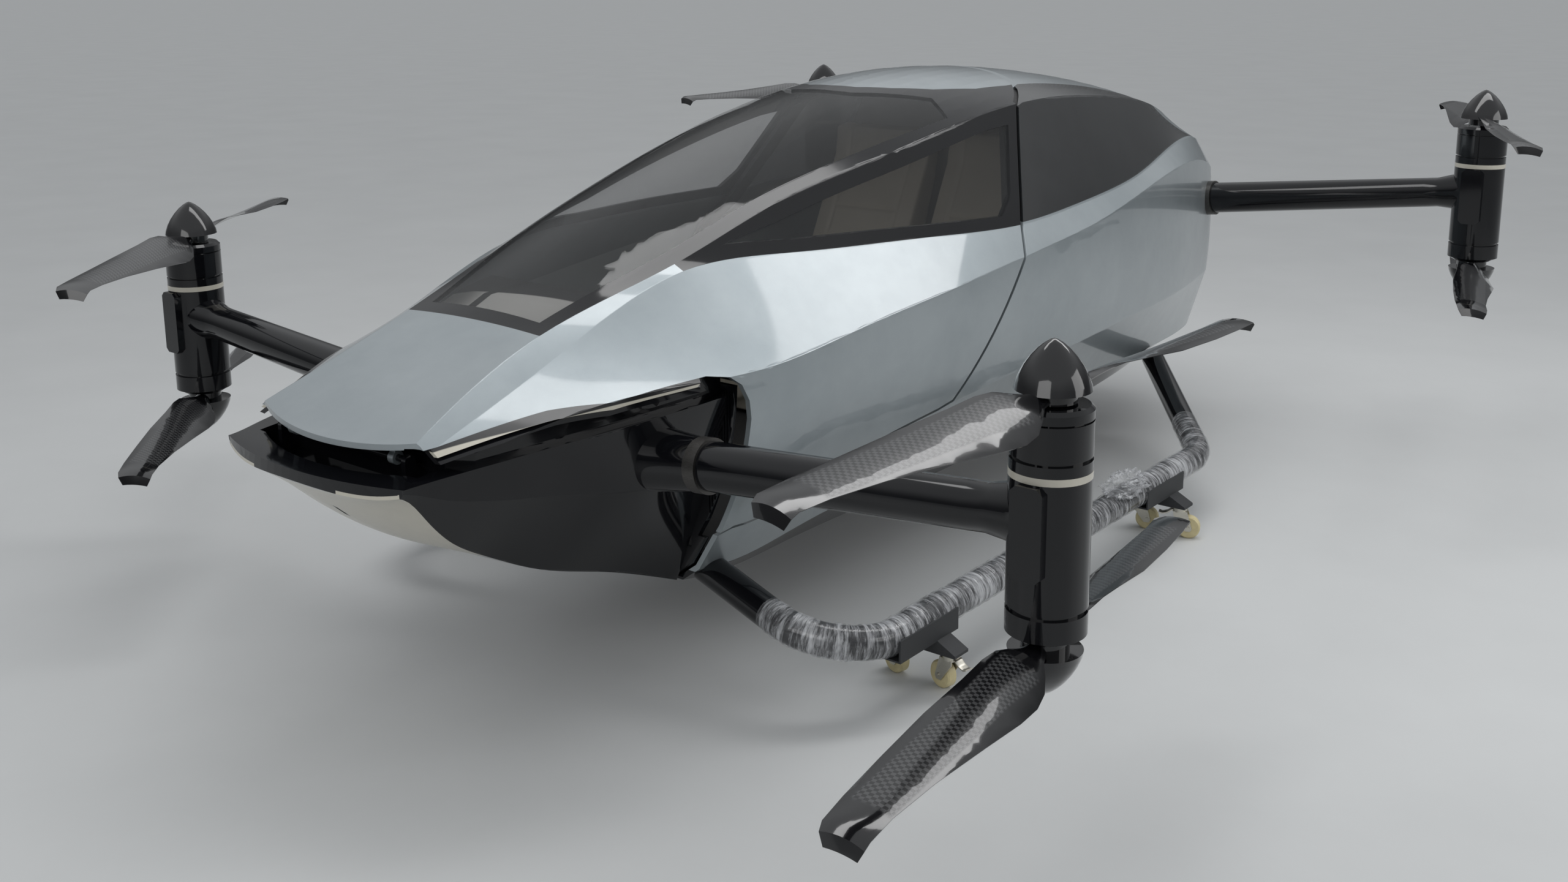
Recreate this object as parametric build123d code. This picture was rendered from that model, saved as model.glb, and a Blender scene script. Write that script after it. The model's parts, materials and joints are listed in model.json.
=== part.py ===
from build123d import *
from collections import namedtuple
import math
import os

os.makedirs("parts", exist_ok=True)

# Electric two-seat flying car with four coaxial rotor pods, standing on skids that rest in
# four caster dollies. Millimetres, +Z up, the nose points to -Y and the vehicle's left is +X.
# The origin is on the floor, midway between the front and the rear rotor pods.

# Body shell
SKIN = 14.0            # thickness of the painted panels
GLASS = 6.0            # thickness of the windows
SHUT = 6.5             # half the wide shut line between canopy and rear body
SEAM = 4.0             # half the narrow shut line along the sill
PANEL_GAP = 9.5        # free space between the canopy's inside and what stays with the body
BORDER = 42.0          # black border round the windscreen
WELD = 2.0             # overlap where two bodies are joined into one solid
HOOD_TIP_Y, HOOD_LOW_Z = -2268.0, 780.0
HOOD_CORNER = (300.0, -2208.0)
CORNER_BACK = 150.0    # how far the front edges of hood and lip sweep back beside their arcs
WINDSCREEN_Y, SCREEN_CORNER = -1800.0, 60.0

# Light strips and the black skirts that carry them under the side panels' front edges
STRIP_DEEP, STRIP_HIGH = 8.0, 18.0
STRIP_START, STRIP_STOP = 30.0, 20.0   # how far the strips stay inside the edge's two ends
STRIP_CUT_BACK = 14.0  # slant of their rear ends
SKIRT_DEEP, SKIRT_HIGH = 12.0, 34.0

# Lower nose
NOSE_WALL = 12.0
LIP_TIP_Y = -2348.0
LIP_CORNER = (332.0, -2288.0)
LEDGE = 63.0           # from the lip back to the mouth's inner edge
MOUTH_FLOOR_Z = 690.0
CHEEK_THIN = 6.0       # how much thinner the mouth's side walls are than its front ledge
MOUTH_FLARE = 30.0     # widening of the mouth from its front to its rear end
DECK_TOP, DECK_SET_BACK = 866.0, 28.0
DECK_FRONT_Y, DECK_TAPER = -2150.0, 20.0
FOOTWELL_Y = -1900.0
CREAM_T, CREAM_TOP_Z = 8.0, 728.0
CREAM_FRONT_Y, CREAM_REAR_Y = -2335.0, -1990.0
SLOT_Y, SLOT_W, SLOT_LEN = -2215.0, 11.0, 30.0

# Arch wall behind the front arms, with upright flutes beside the panels
ARCH_Y, ARCH_T = -1440.0, 12.0
ARCH_TOP_Z, ARCH_INSET = 826.0, 12.0
SEAL_DROP = 20.0       # from the panel's lowest corner down to where the wall meets the skin
KNEE_HALF_W, KNEE_TOP_Z = 400.0, 780.0
FLUTE_PITCH, FLUTE_W, FLUTE_DEEP, FLUTE_COUNT = 9.0, 4.5, 4.0, 11
FLUTE_X, FLUTE_END = 466.0, 15.0

# Cabin
FLOOR_Z, FLOOR_T = 350.0, 16.0
FLOOR_REAR_Y = 1500.0
BULKHEAD_Y, BULKHEAD_T = 500.0, 16.0
RIM_FOOT_Z = 500.0
RIM_DEEP, RIM_W = 18.0, 30.0   # black rim inside the shut line, on each side of it
SEAT_W, SEAT_X = 440.0, 245.0
SEAT_GAP = 20.0        # between a seat and the lining of the body side
DASH_HALF_W, DASH_GAP = 460.0, 14.0
BATTERY = (560.0, 700.0, 240.0)
BATTERY_Y = 900.0

# Canopy hinge
HINGE_Y, HINGE_Z = -2195.0, 766.0
PIN_R = 8.0
PIN_PLAY = 0.3         # free play on the radius of every pin and shaft
LUG_X, LUG_W, LUG_WALL = 230.0, 14.0, 7.0
EAR_X, EAR_W, EAR_WALL, EAR_H = 205.0, 20.0, 8.0, 70.0

# Rotor pods
FRONT_POD_X, FRONT_POD_Y, FRONT_POD_Z = 1544.0, -1640.0, 383.0
REAR_POD_X, REAR_POD_Y, REAR_POD_Z = 1485.0, 1641.0, 658.0
POD_R = 84.0
POD_HEIGHT = 748.0     # from the tip of the lower spinner to the tip of the upper one
POD_CHAMFER = (22.0, 12.0)
POD_EDGE = 8.0
GROOVE_DEEP = 7.0
BAND_DROP, BAND_H, BAND_DEEP, BAND_PROUD = 140.0, 15.0, 4.0, 0.5
COVER_W, COVER_H, COVER_PROUD, COVER_CHAMFER = 72.0, 195.0, 14.0, 12.0
COVER_BELOW_ARM = 12.0
SPINNER_R, SPINNER_H = 78.0, 102.0
HUB_R, HUB_H = 50.0, 24.0
RUN_GAP = 4.0          # running gap between a hub and its motor
SHAFT_R, SHAFT_H, SHAFT_END = 12.0, 22.0, 2.0
BLADE_EDGE = 0.6       # half the thickness of a blade's edges
CAMBER = 0.06          # height of a blade section's middle line, as a share of its chord

# Arms
FRONT_ARM_X, FRONT_ARM_Z = 652.0, 690.0
REAR_ARM_X, REAR_ARM_Z = 496.0, 932.0
ARM_ROOT_R, ARM_TIP_R = 60.5, 52.0
ARM_POD_Z = 382.0      # arm axis above the pod's lowest point
FLARE_LEN, FLARE_R = 60.0, 26.0
COLLAR_R, COLLAR_LEN, COLLAR_STEP = 68.0, 36.0, 2.0
FRONT_BOSS_LEN, FRONT_BOSS_R = 150.0, 14.0
REAR_BOSS_LEN, REAR_BOSS_R = 70.0, 8.0

# Skids and dollies
TUBE_R = 43.0
SKID_X, SKID_Z = 905.0, 188.0
SKID_FRONT_Y, SKID_REAR_Y = -1470.0, 630.0
BEND_R = 200.0
LEG_FRONT = (345.0, -1360.0, 297.0)
LEG_REAR = (430.0, 1260.0, 330.0)
DOLLY_Y = (-1150.0, 255.0)
DOLLY_LEN = 270.0
PLATE_T, PLATE_H, TUBE_PLAY = 5.0, 60.0, 0.5
MOUNT_T, MOUNT_LEN = 8.0, 64.0
CASTER_Y = {"front": -1085.0, "rear": 315.0}
CASTER_X = 73.0        # swivel axis to the middle of the skid tube
CASTER_H = 105.0       # floor to the underside of the mounting plate
CASTER_TRAIL = 30.0
TRAIL_ANGLE = {"front": 165.0, "rear": 20.0}
WHEEL_R, WHEEL_W, WHEEL_CHAMFER = 37.5, 30.0, 4.0
AXLE_R, KING_PIN_R = 5.0, 6.0
FORK_T, FORK_PLAY = 3.0, 2.0
HEAD_R, HEAD_H, CROWN_T = 24.0, 14.0, 4.0
CHEEK_REAR, CHEEK_FRONT, CHEEK_TIP = -19.0, 25.0, 12.0
AXLE_END = 3.0


# Sections of the body shell, from the nose to the stern. roof and keel are heights on the centre
# line; the others are x and z of the right half's corners, from the windscreen rail downwards.
Station = namedtuple("Station", "y roof rail belt crease flank seam sill belly keel")
STATIONS = [Station(*row) for row in [
    (-2270, 800, (300, 795), (318, 778), (345, 748), (343, 705), (335, 660), (310, 600), (280, 560), 555),
    (-1800, 988, (248, 979), (315, 943), (492, 858), (460, 700), (400, 550), (340, 420), (300, 380), 375),
    (-1390, 1180, (315, 1100), (345, 1085), (602, 866), (577, 642), (500, 429), (420, 300), (360, 255), 250),
    (-1040, 1298, (345, 1208), (430, 1092), (626, 898), (604, 688), (536, 488), (440, 315), (370, 245), 245),
    (-560, 1432, (412, 1313), (535, 1076), (650, 944), (640, 753), (590, 568), (465, 345), (375, 245), 245),
    (-110, 1500, (440, 1390), (600, 1062), (656, 984), (650, 790), (612, 600), (480, 368), (380, 245), 245),
    (260, 1512, (450, 1420), (600, 1078), (650, 1016), (648, 815), (616, 616), (485, 380), (380, 255), 250),
    (760, 1475, (430, 1396), (565, 1115), (602, 1074), (611, 851), (592, 628), (470, 390), (370, 280), 268),
    (1260, 1385, (368, 1330), (470, 1172), (528, 1112), (542, 866), (532, 620), (430, 385), (340, 305), 295),
    (1640, 1262, (290, 1226), (395, 1168), (456, 1070), (467, 845), (458, 620), (385, 380), (300, 335), 325),
    (1785, 1180, (235, 1150), (335, 1110), (402, 1010), (411, 815), (404, 620), (340, 395), (265, 350), 342),
    (1880, 1060, (165, 1045), (245, 1015), (310, 940), (318, 780), (314, 620), (270, 425), (215, 385), 378),
]]
WIDE, LONG, HIGH = 3000.0, 6000.0, 2000.0   # reach of every cutting block, well past the body
AHEAD, BEHIND = -LONG / 2, LONG / 2

# Side view outlines, as y and z. The shut line runs from the sill seam up and over the roof.
SHUT_LINE = [(-490, 580), (-180, 977), (-110, 1062), (110, 1408), (410, 1500), (640, 1560)]
ARCH_FOOT = (ARCH_Y + ARCH_T, 424.0)
FRONT_EDGE = [(-2222, 804), (-1935, 846), (-1640, 866), (-1547, 872)]
ARCH_EDGE = [(-1490, 864), (-1453, 839), (-1428, 795), (-1418, 745), (-1418, 600)]

# Roof panel in plan, as x and y: an oval ahead of the shut line that runs back as the spine
ROOF_EDGE = [(0, -300), (90, -285), (175, -215), (260, -100), (320, 60), (338, 220), (338, 800),
             (345, 1190), (392, 1560)]
SCREEN_TOP = [(300, -170), (230, -240), (120, -345), (60, -360)]
SIDE_WINDOW = [(-1240, 1128), (-1040, 1124), (-560, 1110), (-190, 1098), (-110, 1150), (20, 1350),
               (-110, 1345), (-560, 1268), (-1040, 1170)]
QUARTER_TOP = [(1620, 1180), (1500, 1290), (1200, 1600), (-200, 1600)]
QUARTER_RISE = 6.0     # lower edge of the quarter windows above the belt


def inset(points, depth):
    """Move every edge of an open half section inwards by depth; the end points stay at x = 0."""
    moved = [(points[0][0], points[0][1] + depth)]
    for (x0, z0), (x, z), (x1, z1) in zip(points, points[1:], points[2:]):
        before, after = Vector(x - x0, z - z0).normalized(), Vector(x1 - x, z1 - z).normalized()
        normal, other = Vector(-before.Y, before.X), Vector(-after.Y, after.X)
        bisector = (normal + other).normalized()
        step = depth / bisector.dot(normal)
        moved.append((x + bisector.X * step, z + bisector.Y * step))
    return moved + [(points[-1][0], points[-1][1] - depth)]


def flipped(point):
    return Vector(-point.X, point.Y, point.Z)


def mirrored_wire(right, crown):
    """Closed section from the keel up one side, over the crown and down the other side."""
    left = [e.mirror(Plane.YZ) for e in right]
    return Wire([*right, *left, crown])


def body_section(row, depth):
    """One station: arcs for the flanks and the roof, lines for the rest."""
    corners = [(0, row.keel), row.belly, row.sill, row.seam, row.flank, row.crease, row.belt, row.rail,
               (0, row.roof)]
    keel, belly, sill, seam, flank, crease, belt, rail, roof = [
        Vector(x, row.y, z) for x, z in inset(corners, depth)]
    right = [Line(keel, belly).edge(), Line(belly, sill).edge(), Line(sill, seam).edge(),
             ThreePointArc(seam, flank, crease).edge(), Line(crease, belt).edge(), Line(belt, rail).edge()]
    return mirrored_wire(right, ThreePointArc(rail, roof, flipped(rail)).edge())


def body_solid(depth=0.0):
    return Solid.make_loft([body_section(row, depth) for row in STATIONS], ruled=True)


def slab_y(y0, y1):
    return Pos(0, (y0 + y1) / 2, HIGH / 2) * Box(WIDE, y1 - y0, HIGH)


def slab_z(z0, z1):
    return Pos(0, 0, (z0 + z1) / 2) * Box(WIDE, LONG, z1 - z0)


def body_core(depth):
    """Solid inside of the shell at a depth, stopped one wall short of the stern."""
    return body_solid(depth) & slab_y(AHEAD, STATIONS[-1].y - depth)


def side_prism(outline):
    """Extrude a y-z outline across the whole body."""
    face = make_face(Polyline(*[Vector(0, y, z) for y, z in outline], close=True))
    return extrude(face, amount=WIDE / 2, dir=(1, 0, 0), both=True)


def plan_prism(outline):
    """Extrude an x-y outline, mirrored about x = 0, through the whole height."""
    right = [Vector(x, y, 0) for x, y in outline]
    left = [Vector(-x, y, 0) for x, y in reversed(outline)]
    return extrude(make_face(Polyline(*right, *left, close=True)), amount=HIGH)


def bowed_prism(corner, tip_y):
    """Everything behind an arc across the nose, through its two corners and its tip."""
    x, y = corner
    back = y + CORNER_BACK
    arc = ThreePointArc((-x, y), (0, tip_y), (x, y))
    rest = Polyline((x, y), (WIDE, back), (WIDE, BEHIND), (-WIDE, BEHIND), (-WIDE, back), (-x, y))
    return extrude(make_face([arc.edge(), *rest.edges()]), amount=HIGH)


def column(name):
    """y and z of one longitudinal line of the shell, from the table of sections."""
    return [(row.y, getattr(row, name)[1]) for row in STATIONS]


def shifted(line, dy=0.0, dz=0.0):
    return [(y + dy, z + dz) for y, z in line]


def beside(line, depth):
    """Move a side view line squarely sideways; a positive depth is towards the tail."""
    points = [Vector(y, z) for y, z in line]
    runs = [(b - a).normalized() for a, b in zip(points, points[1:])]
    normals = [Vector(run.Y, -run.X) for run in runs]
    moved = []
    for point, one, two in zip(points, normals[:1] + normals, normals + normals[-1:]):
        middle = (one + two).normalized()
        moved.append(point + middle * (depth / middle.dot(one)))
    return [(p.X, p.Y) for p in moved]


def along_x(radius, x0, x1, y, z):
    return Pos((x0 + x1) / 2, y, z) * Rot(0, 90, 0) * Cylinder(radius, abs(x1 - x0))


def keep(name, shape):
    pieces = [s for s in shape.solids() if s.volume > 500.0]
    export_step(pieces[0] if len(pieces) == 1 else Compound(pieces), f"parts/{name}.step")


outer = body_solid()
core = body_core(SKIN)
skin = outer - core
glass_skin = outer - body_core(GLASS)
inner_clear = SKIN + PANEL_GAP
skirt_inside = STRIP_DEEP + SKIRT_DEEP

# Canopy: the shell ahead of the shut line and above the arch and the front edge
belt_line = column("belt")
sill_line = [(ARCH_FOOT[0], column("sill")[2][1])] + column("sill")[3:] + [(BEHIND, column("sill")[-1][1])]
rail_plan = [(row.rail[0], row.y) for row in STATIONS]
front_line, rear_line = beside(SHUT_LINE, -SHUT), beside(SHUT_LINE, SHUT)
canopy_outline = (
    [(AHEAD, HOOD_LOW_Z), (FRONT_EDGE[0][0] - SEAM, HOOD_LOW_Z)] + FRONT_EDGE + ARCH_EDGE
    + shifted([ARCH_FOOT], dy=SEAM, dz=SEAM) + front_line + [(front_line[-1][0], HIGH), (AHEAD, HIGH)]
)
canopy_zone = side_prism(canopy_outline) & bowed_prism(HOOD_CORNER, HOOD_TIP_Y)
canopy_skin = skin & canopy_zone
canopy_glass = glass_skin & canopy_zone
top_zone = plan_prism(rail_plan)
top_skin = canopy_skin & top_zone
side_skin = canopy_skin - top_zone
hood = top_skin & slab_y(AHEAD, WINDSCREEN_Y)
upper = top_skin & slab_y(WINDSCREEN_Y, BEHIND)
roof_zone = plan_prism(ROOF_EDGE + [(ROOF_EDGE[-1][0], BEHIND)])

# Windscreen opening, one border inside the rails and ahead of the roof panel
screen_rows = [(x - BORDER, y) for x, y in rail_plan if WINDSCREEN_Y <= y <= SHUT_LINE[2][0]]
screen_edge = ([(screen_rows[0][0], WINDSCREEN_Y + BORDER)] + screen_rows[1:-1]
               + [(screen_rows[-1][0], SCREEN_TOP[0][1] - SCREEN_CORNER)] + SCREEN_TOP)
screen_zone = plan_prism(screen_edge)
side_window_zone = side_prism(SIDE_WINDOW)
below_belt = side_prism(
    [(AHEAD, 0), (AHEAD, HIGH), (belt_line[2][0], HIGH)] + belt_line[2:7] + [(BEHIND, 0)])
side_panels = side_skin & below_belt
for name, side in (("left", 1), ("right", -1)):
    keep(f"side_panel_{name}", side_panels & Pos(side * WIDE / 2, 0, 0) * Box(WIDE, LONG, 2 * HIGH))
keep("roof_panel_front", upper & roof_zone)
keep("windscreen", canopy_glass & screen_zone)
keep("side_windows", (canopy_glass - top_zone) & side_window_zone)

# Skirts and light strips hang from the lower edge of the side panels, ahead of the arch
def between(start, end, y):
    """The point at y on the straight line through two side view points."""
    return y, start[1] + (end[1] - start[1]) * (y - start[0]) / (end[0] - start[0])


strip_line = ([between(*FRONT_EDGE[:2], FRONT_EDGE[0][0] + STRIP_START)] + FRONT_EDGE[1:-1]
              + [between(*FRONT_EDGE[-2:], FRONT_EDGE[-1][0] - STRIP_STOP)])


def hanging(high, cut_back=0.0):
    """Side view band below the panels' front edge."""
    low = shifted(strip_line, dz=-high)
    low[-1] = (low[-1][0] - cut_back, low[-1][1])
    return side_prism(strip_line + low[::-1])


skirts = (body_core(STRIP_DEEP) - body_core(skirt_inside)) & hanging(SKIRT_HIGH)
strips = (outer - body_core(STRIP_DEEP)) & hanging(STRIP_HIGH, STRIP_CUT_BACK)
keep("light_strips", strips)
frame_sides = side_skin - below_belt - side_window_zone
canopy_frame = (upper - roof_zone - screen_zone) + frame_sides + skirts
keep("canopy_frame", canopy_frame)

# Rear fuselage with the sills, the quarter windows and the belly
rear_outline = shifted([ARCH_FOOT], dz=-SEAM) + rear_line + [(rear_line[-1][0], HIGH), (BEHIND, HIGH)]
rear_zone = side_prism(rear_outline + sill_line[::-1])
quarter_zone = side_prism(shifted(belt_line[4:10], dz=QUARTER_RISE) + QUARTER_TOP) - roof_zone
keep("rear_fuselage", (skin & rear_zone) - quarter_zone)
keep("quarter_windows", glass_skin & rear_zone & quarter_zone)
keep("belly", skin & side_prism(sill_line + [(BEHIND, 0), (ARCH_FOOT[0], 0)]))

# Lower nose: top edge, cheek and lower corner of the right half, height of the keel
NoseRow = namedtuple("NoseRow", "y top cheek corner keel")
NOSE = [NoseRow(*row) for row in [
    (-2352, (338, 742), (337, 735), (334, 727), 718),
    (-2280, (336, 742), (334, 730), (322, 716), 660),
    (-2200, (354, 748), (346, 700), (293, 640), 588),
    (-2100, (380, 755), (367, 672), (258, 545), 512),
    (-1980, (412, 763), (395, 652), (238, 470), 455),
    (-1870, (440, 770), (425, 636), (255, 412), 400),
    (-1640, (505, 788), (490, 604), (290, 335), 326),
    (ARCH_Y, (536, 800), (478, 592), (345, 262), 254),
]]


def nose_section(row, wall):
    keel, corner, cheek, top, middle = [
        Vector(x, row.y, z)
        for x, z in inset([(0, row.keel), row.corner, row.cheek, row.top, (0, row.top[1])], wall)]
    right = [Line(corner, cheek).edge(), Line(cheek, top).edge(), Line(top, middle).edge()]
    left = [e.mirror(Plane.YZ) for e in right]
    return Wire([*right, *left, ThreePointArc(flipped(corner), keel, corner).edge()])


def nose_solid(wall=0.0):
    return Solid.make_loft([nose_section(row, wall) for row in NOSE], ruled=True)


whole_nose = nose_solid()
lower_nose = whole_nose & bowed_prism(LIP_CORNER, LIP_TIP_Y)
mouth_x, mouth_y = LIP_CORNER[0] - LEDGE + CHEEK_THIN, LIP_CORNER[1] + LEDGE
mouth = (bowed_prism((mouth_x, mouth_y), LIP_TIP_Y + LEDGE)
         & slab_y(AHEAD, DECK_FRONT_Y) & slab_z(MOUTH_FLOOR_Z, HIGH)
         & plan_prism([(mouth_x, AHEAD), (mouth_x + MOUTH_FLARE, DECK_FRONT_Y)]))
footwell = nose_solid(NOSE_WALL) & slab_y(FOOTWELL_Y, BEHIND)
deck_rows = [(NOSE[2].top[0] - DECK_SET_BACK - DECK_TAPER, DECK_FRONT_Y)] + [
    (row.top[0] - DECK_SET_BACK, row.y) for row in NOSE[3:]]
deck = plan_prism(deck_rows) & slab_z(MOUTH_FLOOR_Z, DECK_TOP) & body_core(skirt_inside + PANEL_GAP + 2)
underside = plan_prism([(row.corner[0], row.y) for row in NOSE])
cream_zone = underside & slab_y(CREAM_FRONT_Y, CREAM_REAR_Y) & slab_z(0, CREAM_TOP_Z)
nose_panel = (lower_nose & cream_zone) - nose_solid(CREAM_T)
lower_nose = lower_nose + deck - footwell - mouth - nose_panel
slot = plan_prism([(SLOT_W / 2, SLOT_Y - SLOT_LEN / 2), (SLOT_W / 2, SLOT_Y + SLOT_LEN / 2)])
keep("nose_panel", nose_panel - slot)

# Canopy hinge: a pin across the nose in two lugs, with two ears bonded under the hood
hinge_pin = along_x(PIN_R, -LUG_X - LUG_W, LUG_X + LUG_W, HINGE_Y, HINGE_Z)
lugs, ears = Part(), Part()
for side in (-1, 1):
    lug = along_x(PIN_R + LUG_WALL, side * LUG_X, side * (LUG_X + LUG_W), HINGE_Y, HINGE_Z)
    foot = Pos(side * (LUG_X + LUG_W / 2), HINGE_Y, (HINGE_Z + MOUTH_FLOOR_Z - WELD) / 2) * Box(
        LUG_W, 2 * (PIN_R + LUG_WALL), HINGE_Z - MOUTH_FLOOR_Z + WELD)
    lugs = lugs + lug + foot
    ring = along_x(PIN_R + EAR_WALL, side * EAR_X, side * (EAR_X - EAR_W), HINGE_Y, HINGE_Z)
    web = Pos(side * (EAR_X - EAR_W / 2), HINGE_Y, HINGE_Z + EAR_H / 2) * Box(EAR_W, 2 * PIN_R, EAR_H)
    bore = along_x(PIN_R + PIN_PLAY, side * (EAR_X + 1), side * (EAR_X - EAR_W - 1), HINGE_Y, HINGE_Z)
    ears = ears + ((ring + web) - bore)
keep("hood", hood + (ears & outer))
lower_nose = lower_nose + lugs + hinge_pin
keep("lower_nose", lower_nose)

# Arch wall: closes the recess behind the front arm, inside the canopy's arch edge
seal_z = ARCH_FOOT[1] - SEAL_DROP
arch_high = body_core(inner_clear + ARCH_INSET) & slab_z(seal_z, ARCH_TOP_Z)
arch_low = core & slab_z(0, seal_z)
arch_wall = (arch_high + arch_low) & slab_y(ARCH_Y, ARCH_Y + ARCH_T)
knee_hole = plan_prism([(KNEE_HALF_W, AHEAD), (KNEE_HALF_W, BEHIND)]) & slab_z(FLOOR_Z + FLOOR_T, KNEE_TOP_Z)
arch_wall = arch_wall - knee_hole
flute_high = ARCH_TOP_Z - ARCH_FOOT[1] - 2 * FLUTE_END
for i in range(FLUTE_COUNT):
    for side in (-1, 1):
        x = side * (FLUTE_X + i * FLUTE_PITCH)
        arch_wall = arch_wall - Pos(x, ARCH_Y, (ARCH_TOP_Z + ARCH_FOOT[1]) / 2) * Box(
            FLUTE_W, 2 * FLUTE_DEEP, flute_high)
keep("arch_wall", arch_wall)

# Door frame: black rim inside the shut line, on the rear body
rim_core = body_core(inner_clear) - body_core(inner_clear + RIM_DEEP)
seat_core = core - body_core(inner_clear + RIM_DEEP)
rim_line = [(SHUT_LINE[0][0], RIM_FOOT_Z)] + SHUT_LINE
rim_zone = side_prism(beside(rim_line, -RIM_W) + beside(rim_line, SHUT)[::-1])
seat_zone = side_prism(beside(rim_line, SHUT) + beside(rim_line, SHUT + RIM_W)[::-1])
keep("door_frame", (rim_core & rim_zone) + (seat_core & seat_zone))

# Cabin: floor, bulkhead, seats, dashboard; a battery block behind the bulkhead
floor_top = FLOOR_Z + FLOOR_T
keep("cabin_floor", core & slab_z(FLOOR_Z, floor_top) & slab_y(ARCH_Y + ARCH_T, FLOOR_REAR_Y))
keep("bulkhead", core & slab_y(BULKHEAD_Y, BULKHEAD_Y + BULKHEAD_T) & slab_z(floor_top, HIGH))
keep("battery_block", Pos(0, BATTERY_Y, floor_top + BATTERY[2] / 2) * Box(*BATTERY))

# Seats in side view, as y and the height above the floor: cushion with its front roll, then backrest
CUSHION = [(-420, 0), (-360, 234), (-400, 294), (-380, 324), (60, 270), (160, 270), (160, 0)]
BACKREST = [(160, 0), (160, 270), (60, 270), (62, 276), (330, 814), (345, 924), (400, 934), (425, 874),
            (400, 734), (190, 194), (190, 0)]


def seat_pair(outline):
    """The same cushion or backrest for both seats, kept clear of the body sides."""
    face = make_face(Polyline(*[(0, y, floor_top + h) for y, h in outline], close=True))
    block = extrude(face, amount=SEAT_W / 2, dir=(1, 0, 0), both=True)
    return Compound([(Pos(side * SEAT_X, 0, 0) * block & body_core(inner_clear + SEAT_GAP)).solids()[0]
                     for side in (-1, 1)])


keep("seat_cushions", seat_pair(CUSHION))
keep("seat_backs", seat_pair(BACKREST))
DASH = [(-1800, DECK_TOP), (-1500, DECK_TOP), (-1330, 800), (-1250, 830), (-1230, 900), (-1380, 985),
        (-1560, 985), (-1800, 905)]
dashboard = (side_prism(DASH) & body_core(inner_clear + DASH_GAP)
             & plan_prism([(DASH_HALF_W, AHEAD), (DASH_HALF_W, BEHIND)]))
keep("dashboard", dashboard - lower_nose - arch_wall)


def cone_between(p0, p1, r0, r1):
    """Frustum from one point to another."""
    return loft([Plane(origin=p0, z_dir=p1 - p0) * Circle(r0), Plane(origin=p1, z_dir=p1 - p0) * Circle(r1)])


# Pods: a turned body with a motor and its groove at each end
POD_LOW = SPINNER_H + HUB_H + RUN_GAP
POD_TOP = POD_HEIGHT - POD_LOW
BAND_Z = POD_TOP - BAND_DROP
GROOVES = [(POD_LOW + 60, POD_LOW + 70), (BAND_Z + 30, BAND_Z + 38), (POD_TOP - 30, POD_TOP - 26)]


def pod_body():
    cut, rise = POD_CHAMFER
    profile = [(0, POD_LOW), (POD_R - cut, POD_LOW), (POD_R, POD_LOW + rise)]
    for low, high in GROOVES:
        profile += [(POD_R, low), (POD_R - GROOVE_DEEP, low), (POD_R - GROOVE_DEEP, high), (POD_R, high)]
    profile += [(POD_R, POD_TOP - POD_EDGE), (POD_R - POD_EDGE, POD_TOP), (0, POD_TOP)]
    solid = revolve(make_face(Polyline(*[(r, 0, z) for r, z in profile], close=True)), Axis.Z)
    cover = Pos(0, COVER_PROUD / 2 - POD_R, ARM_POD_Z - COVER_BELOW_ARM) * Box(
        COVER_W, 3 * COVER_PROUD, COVER_H)
    cover = chamfer(cover.edges().filter_by(Axis.Y), COVER_CHAMFER)
    upper_shaft = Pos(0, 0, POD_TOP + SHAFT_H / 2) * Cylinder(SHAFT_R, SHAFT_H)
    lower_shaft = Pos(0, 0, POD_LOW - SHAFT_H / 2) * Cylinder(SHAFT_R, SHAFT_H)
    return solid + cover - pod_band() + upper_shaft + lower_shaft


def pod_band():
    return Pos(0, 0, BAND_Z) * (Cylinder(POD_R + BAND_PROUD, BAND_H) - Cylinder(POD_R - BAND_DEEP, BAND_H))


# Rotor blade, root to tip: radius, chord, twist in degrees (trailing edge low), thickness, and the
# offsets of the section's middle forwards and upwards. The tip is turned down.
BladeRow = namedtuple("BladeRow", "radius chord twist thick shift lift")
BLADE = [BladeRow(*row) for row in [
    (36, 42, 12, 17, 0, 0),
    (80, 58, 17, 16, 4, 1),
    (112, 90, 26, 14, 8, 0),
    (150, 124, 32, 13, 11, -4),
    (205, 138, 32, 12, 14, -5),
    (290, 136, 25, 11, 15, -4),
    (430, 128, 16, 9, 7, -3),
    (600, 108, 10, 7, 3, -1),
    (740, 94, 7, 6, 4, 0),
    (820, 90, 6, 5, 10, 0),
    (838, 84, 6, 5, 12, -8),
    (846, 64, 6, 4, 14, -26),
]]


def blade_section(row):
    """Cambered section between two thin edges; u runs along the chord to the low trailing edge."""
    cosine, sine = math.cos(math.radians(row.twist)), math.sin(math.radians(row.twist))
    half, rise = row.chord / 2, CAMBER * row.chord

    def at(u, v):
        return Vector(row.radius, row.shift + u * cosine + v * sine, row.lift - u * sine + v * cosine)

    peak = -0.1 * row.chord
    top = ThreePointArc(at(-half, BLADE_EDGE), at(peak, rise + 0.6 * row.thick), at(half, BLADE_EDGE))
    low = ThreePointArc(at(half, -BLADE_EDGE), at(peak, rise - 0.4 * row.thick), at(-half, -BLADE_EDGE))
    tail = Line(at(half, BLADE_EDGE), at(half, -BLADE_EDGE))
    nose = Line(at(-half, -BLADE_EDGE), at(-half, BLADE_EDGE))
    return Wire([top.edge(), tail.edge(), low.edge(), nose.edge()])


def blades():
    one = Solid.make_loft([blade_section(row) for row in BLADE], ruled=True)
    return one + Rot(0, 0, 180) * one


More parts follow.
